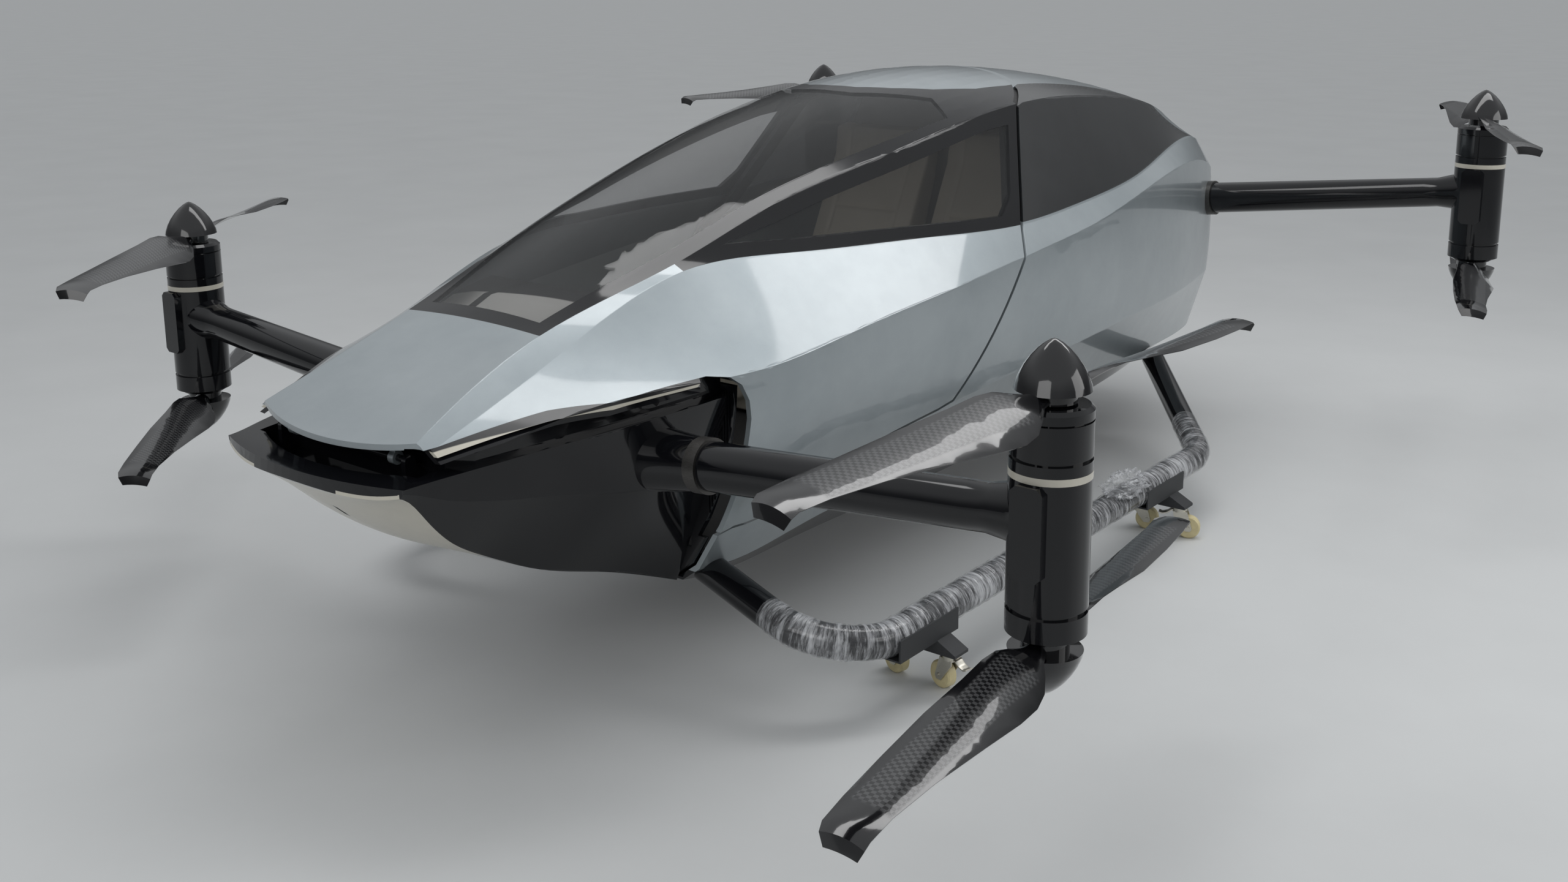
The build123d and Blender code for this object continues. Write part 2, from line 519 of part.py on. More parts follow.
def spinner():
    """Pointed dome of straight cones: the radius falls off as a power of the height."""
    rise = [0.0, 0.12, 0.3, 0.48, 0.65, 0.8, 0.91, 0.975]
    flank = [(SPINNER_R * (1 - t ** 1.5) ** 0.72, SPINNER_H * t) for t in rise]
    profile = [(0, 0)] + flank + [(0, SPINNER_H)]
    return revolve(make_face(Polyline(*[(r, 0, z) for r, z in profile], close=True)), Axis.Z)


def rotor(way):
    """Two-bladed rotor with its bored hub and its dome, hub base at z = 0; way is 1 up or -1 down."""
    head = Pos(0, 0, HUB_H / 2) * Cylinder(HUB_R, HUB_H) + Pos(0, 0, HUB_H) * spinner()
    head = head - Cylinder(SHAFT_R + PIN_PLAY, 2 * (SHAFT_H - RUN_GAP + SHAFT_END))
    if way < 0:
        head = Rot(180, 0, 0) * head
    ring = blades() - Cylinder(HUB_R - WELD, 4 * HUB_H)
    return head + Pos(0, 0, way * HUB_H / 2) * ring


# Each pod: place of its lowest point, rest angles of the upper and the lower rotor from +X
Pod = namedtuple("Pod", "x y z upper lower")
PODS = {
    "front_left": Pod(FRONT_POD_X, FRONT_POD_Y, FRONT_POD_Z, 266.8, 275.9),
    "front_right": Pod(-FRONT_POD_X, FRONT_POD_Y, FRONT_POD_Z, 307.5, 315.4),
    "rear_left": Pod(REAR_POD_X, REAR_POD_Y, REAR_POD_Z, 292.0, 284.0),
    "rear_right": Pod(-REAR_POD_X, REAR_POD_Y, REAR_POD_Z, 260.0, 250.0),
}
bands, collars, bosses = [], [], []
one_pod, one_band, upper_rotor, lower_rotor = pod_body(), pod_band(), rotor(1), rotor(-1)
for name, pod in PODS.items():
    side = 1 if pod.x > 0 else -1
    front = name.startswith("front")
    start = Vector((FRONT_ARM_X if front else REAR_ARM_X) * side, pod.y, FRONT_ARM_Z if front else REAR_ARM_Z)
    end = Vector(pod.x, pod.y, pod.z + ARM_POD_Z)
    along = (end - start).normalized()
    arm = cone_between(start, end, ARM_ROOT_R, ARM_TIP_R)
    flare = cone_between(end - along * (POD_R + FLARE_LEN), end, ARM_TIP_R, ARM_TIP_R + FLARE_R)
    keep(f"arm_{name}", Pos(pod.x, pod.y, pod.z) * one_pod + arm + flare)
    bands.append(Pos(pod.x, pod.y, pod.z) * one_band)
    inner = start - along * COLLAR_LEN
    collars.append(cone_between(inner, start, COLLAR_R, COLLAR_R) - outer)
    length, flared = (FRONT_BOSS_LEN, FRONT_BOSS_R) if front else (REAR_BOSS_LEN, REAR_BOSS_R)
    boss = cone_between(inner - along * length, inner, COLLAR_R + flared, COLLAR_R - COLLAR_STEP)
    bosses.append(boss - whole_nose - deck if front else boss - outer)
    above, below = pod.z + POD_TOP + RUN_GAP, pod.z + POD_LOW - RUN_GAP
    keep(f"rotor_{name}_upper", Pos(pod.x, pod.y, above) * Rot(0, 0, pod.upper) * upper_rotor)
    keep(f"rotor_{name}_lower", Pos(pod.x, pod.y, below) * Rot(0, 0, pod.lower) * lower_rotor)
keep("pod_bands", Compound([b.solids()[0] for b in bands]))
keep("arm_collars", Compound([c.solids()[0] for c in collars]))
keep("arm_fairings", Compound([s for boss in bosses for s in boss.solids()]))


def skid(side):
    """Bent tube with its legs cut flush to the body."""
    points = [(side * LEG_FRONT[0], *LEG_FRONT[1:]), (side * SKID_X, SKID_FRONT_Y, SKID_Z),
              (side * SKID_X, SKID_REAR_Y, SKID_Z), (side * LEG_REAR[0], *LEG_REAR[1:])]
    path = FilletPolyline(*points, radius=BEND_R)
    section = Plane(origin=path @ 0, z_dir=path % 0) * Circle(TUBE_R)
    return sweep(section, path=path) - outer - whole_nose


skids = {"left": skid(1), "right": skid(-1)}
for name, tube in skids.items():
    keep(f"skid_{name}", tube)


def turned(x, y, shape, angle):
    return Pos(x, y, 0) * Rot(0, 0, angle) * shape


def fork():
    """Pressed fork: a round head on its king pin and two cheeks round the trailing wheel."""
    top = CASTER_H - FORK_PLAY
    half = WHEEL_W / 2 + FORK_PLAY
    crown_z = top - HEAD_H + CROWN_T / 4
    solid = Pos(0, 0, top - HEAD_H / 2) * Cylinder(HEAD_R, HEAD_H)
    solid = solid + Pos((CHEEK_FRONT + CHEEK_REAR) / 2, 0, crown_z) * Box(
        CHEEK_FRONT - CHEEK_REAR, 2 * (half + FORK_T), CROWN_T)
    tip_x, tip_z, crown_top = CASTER_TRAIL + CHEEK_TIP, WHEEL_R - CHEEK_TIP, crown_z + CROWN_T / 2
    cheek = make_face(Polyline(
        (CHEEK_REAR, 0, crown_top), (CHEEK_FRONT, 0, crown_top), (tip_x, 0, WHEEL_R - AXLE_R / 2),
        (tip_x - AXLE_R, 0, tip_z), (CASTER_TRAIL - CHEEK_TIP + WELD, 0, tip_z),
        (CHEEK_REAR, 0, top - 2 * CHEEK_TIP), close=True))
    for side in (-1, 1):
        solid = solid + Pos(0, side * (half + FORK_T / 2), 0) * extrude(
            cheek, amount=FORK_T / 2, dir=(0, 1, 0), both=True)
    axle = Pos(CASTER_TRAIL, 0, WHEEL_R) * Rot(90, 0, 0) * Cylinder(AXLE_R, 2 * (half + FORK_T + AXLE_END))
    return solid + axle - Pos(0, 0, top) * Cylinder(KING_PIN_R + PIN_PLAY, HEAD_H * 4)


def wheel():
    tread = chamfer(Cylinder(WHEEL_R, WHEEL_W).edges(), WHEEL_CHAMFER)
    bored = tread - Cylinder(AXLE_R + PIN_PLAY, 2 * WHEEL_W)
    return Pos(CASTER_TRAIL, 0, WHEEL_R) * Rot(90, 0, 0) * bored


# Dollies: a channel under the skid tube on a gusseted plate with two swivel casters
tube_low = SKID_Z - TUBE_R
one_fork, one_wheel = fork(), wheel()
dollies = {"front": [], "rear": []}
for end, y in zip(("front", "rear"), DOLLY_Y):
    for place, side in (("left", 1), ("right", -1)):
        x, mount_y = side * SKID_X, CASTER_Y[end]
        reach = CASTER_X + KING_PIN_R + HEAD_R
        mount_top = CASTER_H + MOUNT_T
        gusset = make_face(Polyline(
            (x - TUBE_R, mount_y, tube_low), (x + TUBE_R, mount_y, tube_low), (x + reach, mount_y, mount_top),
            (x + reach, mount_y, CASTER_H), (x - reach, mount_y, CASTER_H), (x - reach, mount_y, mount_top),
            close=True))
        solid = extrude(gusset, amount=MOUNT_LEN / 2, dir=(0, 1, 0), both=True)
        solid = solid + Pos(x, y, tube_low - PLATE_T / 2) * Box(2 * (TUBE_R + TUBE_PLAY), DOLLY_LEN, PLATE_T)
        plate_x, plate_z = TUBE_R + TUBE_PLAY + PLATE_T / 2, tube_low - PLATE_T + PLATE_H / 2
        for edge in (-1, 1):
            solid = solid + Pos(x + edge * plate_x, y, plate_z) * Box(PLATE_T, DOLLY_LEN, PLATE_H)
            solid = solid + Pos(x + edge * CASTER_X, mount_y, CASTER_H - HEAD_H / 2 + WELD) * Cylinder(
                KING_PIN_R, HEAD_H + 2 * WELD)
        dollies[end].append((solid - skids[place]).solids()[0])
        trail = TRAIL_ANGLE[end] if side > 0 else 180 - TRAIL_ANGLE[end]
        for where, edge in (("inner", -side), ("outer", side)):
            swivel_x = x + edge * CASTER_X
            keep(f"caster_fork_{end}_{place}_{where}", turned(swivel_x, mount_y, one_fork, trail))
            keep(f"caster_wheel_{end}_{place}_{where}", turned(swivel_x, mount_y, one_wheel, trail))
for end, shapes in dollies.items():
    keep(f"dollies_{end}", Compound(shapes))
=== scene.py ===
import bmesh
import bpy
import json
import math
import numpy as np
from mathutils import Matrix, Vector


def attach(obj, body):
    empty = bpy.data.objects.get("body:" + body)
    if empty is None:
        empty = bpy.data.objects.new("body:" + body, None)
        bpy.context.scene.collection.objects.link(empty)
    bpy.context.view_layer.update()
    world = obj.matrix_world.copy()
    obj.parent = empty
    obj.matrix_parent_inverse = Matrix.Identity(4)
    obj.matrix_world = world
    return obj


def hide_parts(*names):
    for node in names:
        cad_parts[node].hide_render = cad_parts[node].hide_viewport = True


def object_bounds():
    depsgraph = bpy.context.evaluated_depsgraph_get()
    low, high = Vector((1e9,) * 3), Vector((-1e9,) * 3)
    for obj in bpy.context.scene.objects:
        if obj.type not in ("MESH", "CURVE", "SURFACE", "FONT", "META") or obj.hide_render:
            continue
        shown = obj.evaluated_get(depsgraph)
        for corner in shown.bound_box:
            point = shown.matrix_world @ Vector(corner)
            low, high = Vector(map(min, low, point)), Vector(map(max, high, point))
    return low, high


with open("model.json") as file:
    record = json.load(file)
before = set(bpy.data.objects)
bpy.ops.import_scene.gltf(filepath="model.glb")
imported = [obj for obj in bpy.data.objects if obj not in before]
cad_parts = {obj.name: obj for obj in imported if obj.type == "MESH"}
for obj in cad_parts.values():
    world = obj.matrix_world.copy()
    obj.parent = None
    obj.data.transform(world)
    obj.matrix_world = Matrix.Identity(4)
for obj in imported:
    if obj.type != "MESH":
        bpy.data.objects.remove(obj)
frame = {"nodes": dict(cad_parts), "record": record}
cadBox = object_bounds()
nodes = frame["nodes"]
bodyOf = {name: body for body, names in frame["record"]["behaviour"]["bodies"].items() for name in names}
slotOf = {part["node"]: part["material_slot"] for part in frame["record"]["subparts"]}
print("frame loaded,", len(nodes), "nodes")

tiny = 1e-12    # keeps a division away from nought


class Wire:
    # wraps one output socket; + - * / > < on it add Math nodes
    def __init__(self, tree, socket):
        self.tree, self.socket = tree, socket

    def maths(self, operation, *others, clamp=False):
        node = self.tree.nodes.new("ShaderNodeMath")
        node.operation, node.use_clamp = operation, clamp
        for slot, value in zip(node.inputs, (self, *others)):
            join(self.tree, slot, value)
        return Wire(self.tree, node.outputs[0])

    def __add__(self, o): return self.maths("ADD", o)
    def __radd__(self, o): return self.maths("ADD", o)
    def __sub__(self, o): return self.maths("SUBTRACT", o)
    def __rsub__(self, o): return (self * -1.0) + o
    def __mul__(self, o): return self.maths("MULTIPLY", o)
    def __truediv__(self, o): return self.maths("DIVIDE", o)
    def __gt__(self, o): return self.maths("GREATER_THAN", o)
    def __lt__(self, o): return self.maths("LESS_THAN", o)
    def frac(self): return self.maths("FRACT")
    def floor(self): return self.maths("FLOOR")
    def abs(self): return self.maths("ABSOLUTE")
    def clip(self): return self.maths("ADD", 0.0, clamp=True)
    def step(self, low, high): return ((self - low) / (high - low)).clip()  # 0 below low, 1 above high


def join(tree, slot, value):
    # a wire is linked to the input, anything else becomes its fixed value
    if isinstance(value, Wire):
        tree.links.new(value.socket, slot)
    else:
        slot.default_value = value


class Graph:
    # adds nodes of any kind to one tree
    def __init__(self, tree):
        self.tree = tree

    def node(self, kind, settings=None, out=0, slots=None, **values):
        # settings are the node's own fields; slots go to its inputs by number and values by name
        made = self.tree.nodes.new(kind)
        for key, value in (settings or {}).items():
            setattr(made, key, value)
        for key, value in (slots or {}).items():
            join(self.tree, made.inputs[key], value)
        for key, value in values.items():
            join(self.tree, made.inputs[key.replace("_", " ")], value)
        return Wire(self.tree, made.outputs[out])

    def axes(self, place):
        x = self.node("ShaderNodeSeparateXYZ", Vector=place)
        return [Wire(self.tree, output) for output in x.socket.node.outputs]


class Finish(Graph):
    # a material with its Principled shader and a few shorthands
    def __init__(self, name):
        self.mat = bpy.data.materials.new(name)
        self.mat.use_nodes = True
        super().__init__(self.mat.node_tree)
        self.shader = self.tree.nodes["Principled BSDF"]

    def place(self):
        return self.node("ShaderNodeTexCoord", out=3)    # object coordinates

    def sheet(self, name):
        return self.node("ShaderNodeUVMap", {"uv_map": name})

    def noise(self, scale, detail=3.0, rough=0.5, place=None, stretch=(1, 1, 1)):
        place = place or self.place()
        if stretch != (1, 1, 1):
            place = self.node("ShaderNodeMapping", Vector=place, Scale=stretch)
        return self.node("ShaderNodeTexNoise", Vector=place, Scale=scale, Detail=detail, Roughness=rough)

    def blend(self, factor, a, b):
        # colour a where the factor is 0 and b where it is 1; inputs 6 and 7 and output 2 are the node's colours
        a, b = (colour if isinstance(colour, Wire) else (*colour, 1.0) for colour in (a, b))
        return self.node("ShaderNodeMix", {"data_type": "RGBA"}, 2, {0: factor, 6: a, 7: b})

    def bump(self, height, strength=0.2, distance=0.001):
        return self.node("ShaderNodeBump", Strength=strength, Distance=distance, Height=height)

    def shade(self, **values):
        for key, value in values.items():
            if isinstance(value, tuple) and len(value) == 3:
                value = (*value, 1.0)
            join(self.tree, self.shader.inputs[key.replace("_", " ")], value)
        return self.mat


# Sections from the nose to the stern in millimetres: y, roof height, then x and z of the rail, belt, crease,
# flank, seam, sill and belly corners, and the keel height. The CAD shell runs straight from one to the next.
bodyForm = {
    "rows": (
        (-2270, 800, (300, 795), (318, 778), (345, 748), (343, 705), (335, 660), (310, 600), (280, 560), 555),
        (-1800, 988, (248, 979), (315, 943), (492, 858), (460, 700), (400, 550), (340, 420), (300, 380), 375),
        (-1390, 1180, (315, 1100), (345, 1085), (602, 866), (577, 642), (500, 429), (420, 300), (360, 255), 250),
        (-1040, 1298, (345, 1208), (430, 1092), (626, 898), (604, 688), (536, 488), (440, 315), (370, 245), 245),
        (-560, 1432, (412, 1313), (535, 1076), (650, 944), (640, 753), (590, 568), (465, 345), (375, 245), 245),
        (-110, 1500, (440, 1390), (600, 1062), (656, 984), (650, 790), (612, 600), (480, 368), (380, 245), 245),
        (260, 1512, (450, 1420), (600, 1078), (650, 1016), (648, 815), (616, 616), (485, 380), (380, 255), 250),
        (760, 1475, (430, 1396), (565, 1115), (602, 1074), (611, 851), (592, 628), (470, 390), (370, 280), 268),
        (1260, 1385, (368, 1330), (470, 1172), (528, 1112), (542, 866), (532, 620), (430, 385), (340, 305), 295),
        (1640, 1262, (290, 1226), (395, 1168), (456, 1070), (467, 845), (458, 620), (385, 380), (300, 335), 325),
        (1785, 1180, (235, 1150), (335, 1110), (402, 1010), (411, 815), (404, 620), (340, 395), (265, 350), 342),
        (1880, 1060, (165, 1045), (245, 1015), (310, 940), (318, 780), (314, 620), (270, 425), (215, 385), 378),
    ),
    "facet": 0.055,          # longest edge of a smoothed panel
    "deep": (0.06, 0.20),    # the smoothing fades out between these depths under the skin
}
noseForm = {
    "rows": (                # y, then x and z of the top, cheek and corner, and the keel height
        (-2352, (338, 742), (337, 735), (334, 727), 718),
        (-2280, (336, 742), (334, 730), (322, 716), 660),
        (-2200, (354, 748), (346, 700), (293, 640), 588),
        (-2100, (380, 755), (367, 672), (258, 545), 512),
        (-1980, (412, 763), (395, 652), (238, 470), 455),
        (-1870, (440, 770), (425, 636), (255, 412), 400),
        (-1640, (505, 788), (490, 604), (290, 335), 326),
        (-1440, (536, 800), (478, 592), (345, 262), 254),
    ),
    "facet": 0.035,
    "deep": (0.02, 0.06),
}
stepsPerEdge = 16   # points along each edge of a section


def unit(rows):
    return rows / np.maximum(np.linalg.norm(rows, axis=1), tiny)[:, None]


def straight(a, b):
    # points from a to b in equal steps, the last one left out
    t = np.arange(stepsPerEdge)[:, None] / stepsPerEdge
    return np.asarray(a, float) * (1 - t) + np.asarray(b, float) * t


def arc(a, m, b):
    # circle through a, m and b: its centre is where the two chords' middle lines cross, then equal angles
    a, m, b = (np.asarray(p, float) for p in (a, m, b))
    rows = 2 * np.array([m - a, b - a])
    centre = np.linalg.solve(rows, np.array([m @ m - a @ a, b @ b - a @ a]))
    ends = [math.atan2(*(p - centre)[::-1]) for p in (a, m, b)]
    turnA, turnB = (np.unwrap(ends)[i] for i in (0, 2))
    angle = turnA + (turnB - turnA) * np.arange(stepsPerEdge) / stepsPerEdge
    return centre + np.linalg.norm(a - centre) * np.stack([np.cos(angle), np.sin(angle)], 1)


def bodySection(row):
    # right half from the keel up to the roof: straight edges, with arcs for the flank and the roof
    _, roof, rail, belt, crease, flank, seam, sill, belly, keel = row
    top = arc(rail, (0, roof), (-rail[0], rail[1]))
    t = np.arange(stepsPerEdge) / 2     # half steps along the roof arc, so only its right half
    low = np.floor(t).astype(int)
    roofHalf = top[low] + (top[low + 1] - top[low]) * (t - low)[:, None]
    return np.concatenate([straight((0, keel), belly), straight(belly, sill), straight(sill, seam),
                           arc(seam, flank, crease), straight(crease, belt), straight(belt, rail),
                           roofHalf, [(0, roof)]])


def noseSection(row):
    # right half from the keel round the corner and the cheek to the top and in to the middle
    _, top, cheek, corner, keel = row
    bottom = np.concatenate([arc((-corner[0], corner[1]), (0, keel), corner), [corner]])
    t = (stepsPerEdge + np.arange(stepsPerEdge)) / 2    # half steps along the second half of the keel arc
    low = np.floor(t).astype(int)
    keelHalf = bottom[low] + (bottom[low + 1] - bottom[low]) * (t - low)[:, None]
    return np.concatenate([keelHalf, straight(corner, cheek), straight(cheek, top),
                           straight(top, (0, top[1])), [(0, top[1])]])


class Form:
    # a body of sections along y: ruled() is the CAD's straight run between them, smooth() a cubic spline
    def __init__(self, form, section):
        self.y = np.array([row[0] for row in form["rows"]]) / 1000
        self.rings = np.array([section(row) for row in form["rows"]]) / 1000
        self.rings[:, 0, 0] = self.rings[:, -1, 0] = 0
        gap = np.diff(self.y)
        count = len(self.y)
        band = np.eye(count)                     # natural spline: the bend is nought at both ends
        for i in range(1, count - 1):
            band[i, i - 1:i + 2] = gap[i - 1], 2 * (gap[i - 1] + gap[i]), gap[i]
        slope = np.diff(self.rings, axis=0) / gap[:, None, None]
        load = np.zeros_like(self.rings)
        load[1:-1] = 6 * np.diff(slope, axis=0)
        self.bend = np.linalg.solve(band, load.reshape(count, -1)).reshape(self.rings.shape)
        self.deep = form["deep"]
        self.facet = form["facet"]

    def between(self, y):
        # the section before y, how far y is from it to the next as a share, and the gap between the two
        y = np.clip(y, self.y[0], self.y[-1])
        i = np.clip(np.searchsorted(self.y, y, side="right") - 1, 0, len(self.y) - 2)
        gap = self.y[i + 1] - self.y[i]
        return i, (y - self.y[i]) / gap, gap

    def pick(self, table, i, s):
        # the value in row i of a table at the place s, in points round the section
        low = np.clip(np.floor(s).astype(int), 0, table.shape[1] - 2)
        u = (s - low)[:, None]
        return table[i, low] * (1 - u) + table[i, low + 1] * u

    def ruled(self, y, s):
        i, t, _ = self.between(y)
        return self.pick(self.rings, i, s) * (1 - t)[:, None] + self.pick(self.rings, i + 1, s) * t[:, None]

    def smooth(self, y, s):
        # cubic between two sections from their places and their second derivatives
        i, t, gap = self.between(y)
        a, b = 1 - t, t
        bendA = ((a ** 3 - a) * gap ** 2 / 6)[:, None] * self.pick(self.bend, i, s)
        bendB = ((b ** 3 - b) * gap ** 2 / 6)[:, None] * self.pick(self.bend, i + 1, s)
        ringA, ringB = self.pick(self.rings, i, s), self.pick(self.rings, i + 1, s)
        return a[:, None] * ringA + b[:, None] * ringB + bendA + bendB

    def locate(self, points):
        # for each point the place s round the ruled section at its y that lies nearest, and how far off it is
        s, off = np.zeros(len(points)), np.zeros(len(points))
        atOnce = 4000   # points in one go, to spare memory
        for start in range(0, len(points), atOnce):
            part = slice(start, start + atOnce)
            flat = np.stack([np.abs(points[part, 0]), points[part, 2]], 1)
            i, t, _ = self.between(points[part, 1])
            ring = self.rings[i] * (1 - t)[:, None, None] + self.rings[i + 1] * t[:, None, None]
            run = np.diff(ring, axis=1)
            u = ((flat[:, None] - ring[:, :-1]) * run).sum(2) / np.maximum((run ** 2).sum(2), tiny)
            u = np.clip(u, 0, 1)
            away = np.linalg.norm(flat[:, None] - ring[:, :-1] - run * u[..., None], axis=2)
            best = away.argmin(1)
            here = np.arange(len(best))
            s[part], off[part] = best + u[here, best], away[here, best]
        return s, off

    def normal(self, y, s, towards):
        # cross product of the two surface directions, taken on the side of s that the face lies on
        side = np.where(towards >= s, 1.0, -1.0)
        inset, reach, h = 0.02, 0.4, 0.01   # the first two in points round the section, the last in metres
        last = self.rings.shape[1] - 1
        inner = np.clip(s + inset * side, 0, last)
        outer = np.clip(inner + reach * side, 0, last)
        turned = (self.smooth(y, outer) - self.smooth(y, inner)) * side[:, None]
        along = (self.smooth(y + h, inner) - self.smooth(y - h, inner)) / (2 * h)
        return unit(np.cross(np.stack([along[:, 0], np.ones(len(y)), along[:, 1]], 1),
                             np.stack([turned[:, 0], np.zeros(len(y)), turned[:, 1]], 1)))


def dividedFaces(points, faces, facet):
    # halves every edge longer than facet, the same for both its faces, and splits each triangle to match
    while True:
        ends = np.sort(np.stack([faces, np.roll(faces, -1, 1)], -1), -1)
        key, back = np.unique(ends[..., 0] * len(points) + ends[..., 1], return_inverse=True)
        a, b = key // len(points), key % len(points)
        long = np.linalg.norm(points[a] - points[b], axis=1) > facet
        if not long.any():
            return points, faces
        middle = np.full(len(key), -1)
        middle[long] = len(points) + np.arange(long.sum())
        points = np.concatenate([points, (points[a[long]] + points[b[long]]) / 2])
        cut = middle[back.reshape(-1, 3)]       # the new point after each corner, or -1
        count = (cut >= 0).sum(1)
        made = [faces[count == 0]]
        for k in range(3):
            turned, cuts = np.roll(faces, -k, 1), np.roll(cut, -k, 1)
            one, two = (count == 1) & (cuts[:, 0] >= 0), (count == 2) & (cuts[:, 0] < 0)
            (a, b, c), p = turned[one].T, cuts[one, 0]
            made += [np.stack([a, p, c], 1), np.stack([p, b, c], 1)]
            (a, b, c), (q, r) = turned[two].T, cuts[two, 1:].T
            made += [np.stack([q, c, r], 1), np.stack([a, b, q], 1), np.stack([a, q, r], 1)]
        (a, b, c), (p, q, r) = faces[count == 3].T, cut[count == 3].T
        made += [np.stack(three, 1) for three in ((a, p, r), (p, b, q), (r, q, c), (p, q, r))]
        faces = np.concatenate(made)


def threes(items, field):
    # a row of three numbers for each point, face or corner
    flat = np.empty(len(items) * 3)
    items.foreach_get(field, flat)
    return flat.reshape(-1, 3)


def cornerPoints(mesh):
    # the number of the point at each corner of each face
    corner = np.empty(len(mesh.loops), int)
    mesh.loops.foreach_get("vertex_index", corner)
    return corner


def shadeSmooth(mesh, sharpAngle=None):
    # smooth all over, or all but the edges that turn by more than the angle in degrees
    mesh.polygons.foreach_set("use_smooth", np.ones(len(mesh.polygons), bool))
    if sharpAngle:
        mesh.set_sharp_from_angle(angle=math.radians(sharpAngle))


def closeMesh(mesh):
    # welds doubled points, caps open ends and turns every face outwards
    bm = bmesh.new()
    bm.from_mesh(mesh)
    bmesh.ops.remove_doubles(bm, verts=bm.verts, dist=1e-6)
    bmesh.ops.holes_fill(bm, edges=[edge for edge in bm.edges if edge.is_boundary])
    bmesh.ops.recalc_face_normals(bm, faces=bm.faces)
    bm.to_mesh(mesh)
    bm.free()


def addSheet(mesh, name, places):
    # a UV map with a place in metres for each point of the mesh
    layer = mesh.uv_layers.new(name=name)
    layer.data.foreach_set("uv", places[cornerPoints(mesh)].ravel())


def mergedCopy(node, facet=math.inf):
    # copy of a CAD node's mesh, its doubles merged and its edges divided until none is longer than facet
    bm = bmesh.new()
    bm.from_mesh(nodes[node].data)
    bmesh.ops.remove_doubles(bm, verts=bm.verts, dist=1e-5)
    mesh = bpy.data.meshes.new(node + " smooth")
    bm.to_mesh(mesh)
    bm.free()
    points, faces = dividedFaces(threes(mesh.vertices, "co"), cornerPoints(mesh).reshape(-1, 3), facet)
    mesh.clear_geometry()     # with it go the normals that came with the CAD mesh
    mesh.from_pydata(points.tolist(), [], faces.tolist())
    return mesh


def finishFor(node):
    return finishOf.get(node) or finishes[slotOf[node]]


def standIn(mesh, node):
    # the mesh becomes a piece with the node's finish and body, and is shown in its place
    piece = bpy.data.objects.new(node + "_skin", mesh)
    bpy.context.scene.collection.objects.link(piece)
    mesh.materials.clear()
    mesh.materials.append(finishFor(node))
    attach(piece, bodyOf[node])
    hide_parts(node)
    return piece


def smoothPanel(node, form):
    # every point moves by the step from the ruled to the smooth surface at its place; the shading normal is the
    # smooth surface's own on the skin and on the inside, and the face's own on the cut edges
    mesh = mergedCopy(node, form.facet)
    at = threes(mesh.vertices, "co")
    s, off = form.locate(at)
    step = form.smooth(at[:, 1], s) - form.ruled(at[:, 1], s)
    low, high = form.deep
    step *= (1 - np.clip((off - low) / (high - low), 0, 1))[:, None]
    side = np.where(at[:, 0] < 0, -1.0, 1.0)
    side[np.abs(at[:, 0]) < 1e-6] = 0       # a point on the centre line stays on it
    moved = at + np.stack([step[:, 0] * side, np.zeros(len(at)), step[:, 1]], 1)
    moved[:, 2] = np.minimum(moved[:, 2], cadBox[1][2])
    mesh.vertices.foreach_set("co", moved.ravel())
    mesh.update()
    corner = cornerPoints(mesh)
    faceOf = np.repeat(np.arange(len(mesh.polygons)), 3)
    centre = at[corner].reshape(-1, 3, 3).mean(1)
    centreS, _ = form.locate(centre)
    out = form.normal(at[corner, 1], s[corner], centreS[faceOf])
    out[:, 0] *= np.where(centre[faceOf, 0] < 0, -1.0, 1.0)
    flat = threes(mesh.polygons, "normal")[faceOf]
    dot, along = (out * flat).sum(1)[:, None], 0.8      # along: the least cosine of a face that lies on the skin
    shown = np.where(dot > along, out, np.where(dot < -along, -out, flat))
    shadeSmooth(mesh)
    mesh.normals_split_custom_set(shown.tolist())
    standIn(mesh, node)


def roundedCopy(node, angle, facet=math.inf):
    # the node's own shape, shaded smooth except across edges sharper than the angle
    mesh = mergedCopy(node, facet)
    shadeSmooth(mesh, angle)
    return standIn(mesh, node)


def evenShading(mesh, rounds):
    # each corner's shading normal becomes the mean of its faces' own means, a few times over; only corners of
    # one point whose normals start out alike, to one part in grain, share a mean, so sharp edges stay
    grain = 40
    normals = threes(mesh.corner_normals, "vector")
    alike = np.column_stack([cornerPoints(mesh), np.round(normals * grain)]).astype(int)
    group = np.unique(alike, axis=0, return_inverse=True)[1].ravel()
    for _ in range(rounds):
        face = np.repeat(normals.reshape(-1, 3, 3).mean(1), 3, axis=0)
        normals = unit(np.stack([np.bincount(group, face[:, k]) for k in range(3)], 1)[group])
    mesh.normals_split_custom_set(normals.tolist())


podForm = {
    "places": {"front": (1.544, -1.640), "rear": (1.485, 1.641)},    # the left pods' axles
    # a face counts as turned about an axle if its corner lies between near and far from it, more than the share
    # "level" of its normal is level, and that part points at the axle or away from it to "facing" degrees
    "near": 0.004, "far": 0.16, "level": 0.15, "facing": 13,
}


def turnedShading(mesh):
    # on faces turned about a pod's upright axle the normal points exactly away from it
    form = podForm
    normals, at = threes(mesh.corner_normals, "vector"), threes(mesh.vertices, "co")[cornerPoints(mesh)]
    face = np.repeat(threes(mesh.polygons, "normal"), 3, axis=0)[:, :2]
    wide = np.linalg.norm(face, axis=1)
    for x, y in form["places"].values():
        for side in (1, -1):
            ray = at[:, :2] - (x * side, y)
            reach = np.linalg.norm(ray, axis=1)
            ray /= np.maximum(reach, tiny)[:, None]
            facing = (face * ray).sum(1) / np.maximum(wide, tiny)
            turned = (reach < form["far"]) & (reach > form["near"]) & (wide > form["level"])
            turned &= np.abs(facing) > math.cos(math.radians(form["facing"]))
            level = np.linalg.norm(normals[:, :2], axis=1)
            normals[turned, :2] = (ray * (level * np.sign(facing))[:, None])[turned]
    mesh.normals_split_custom_set(normals.tolist())


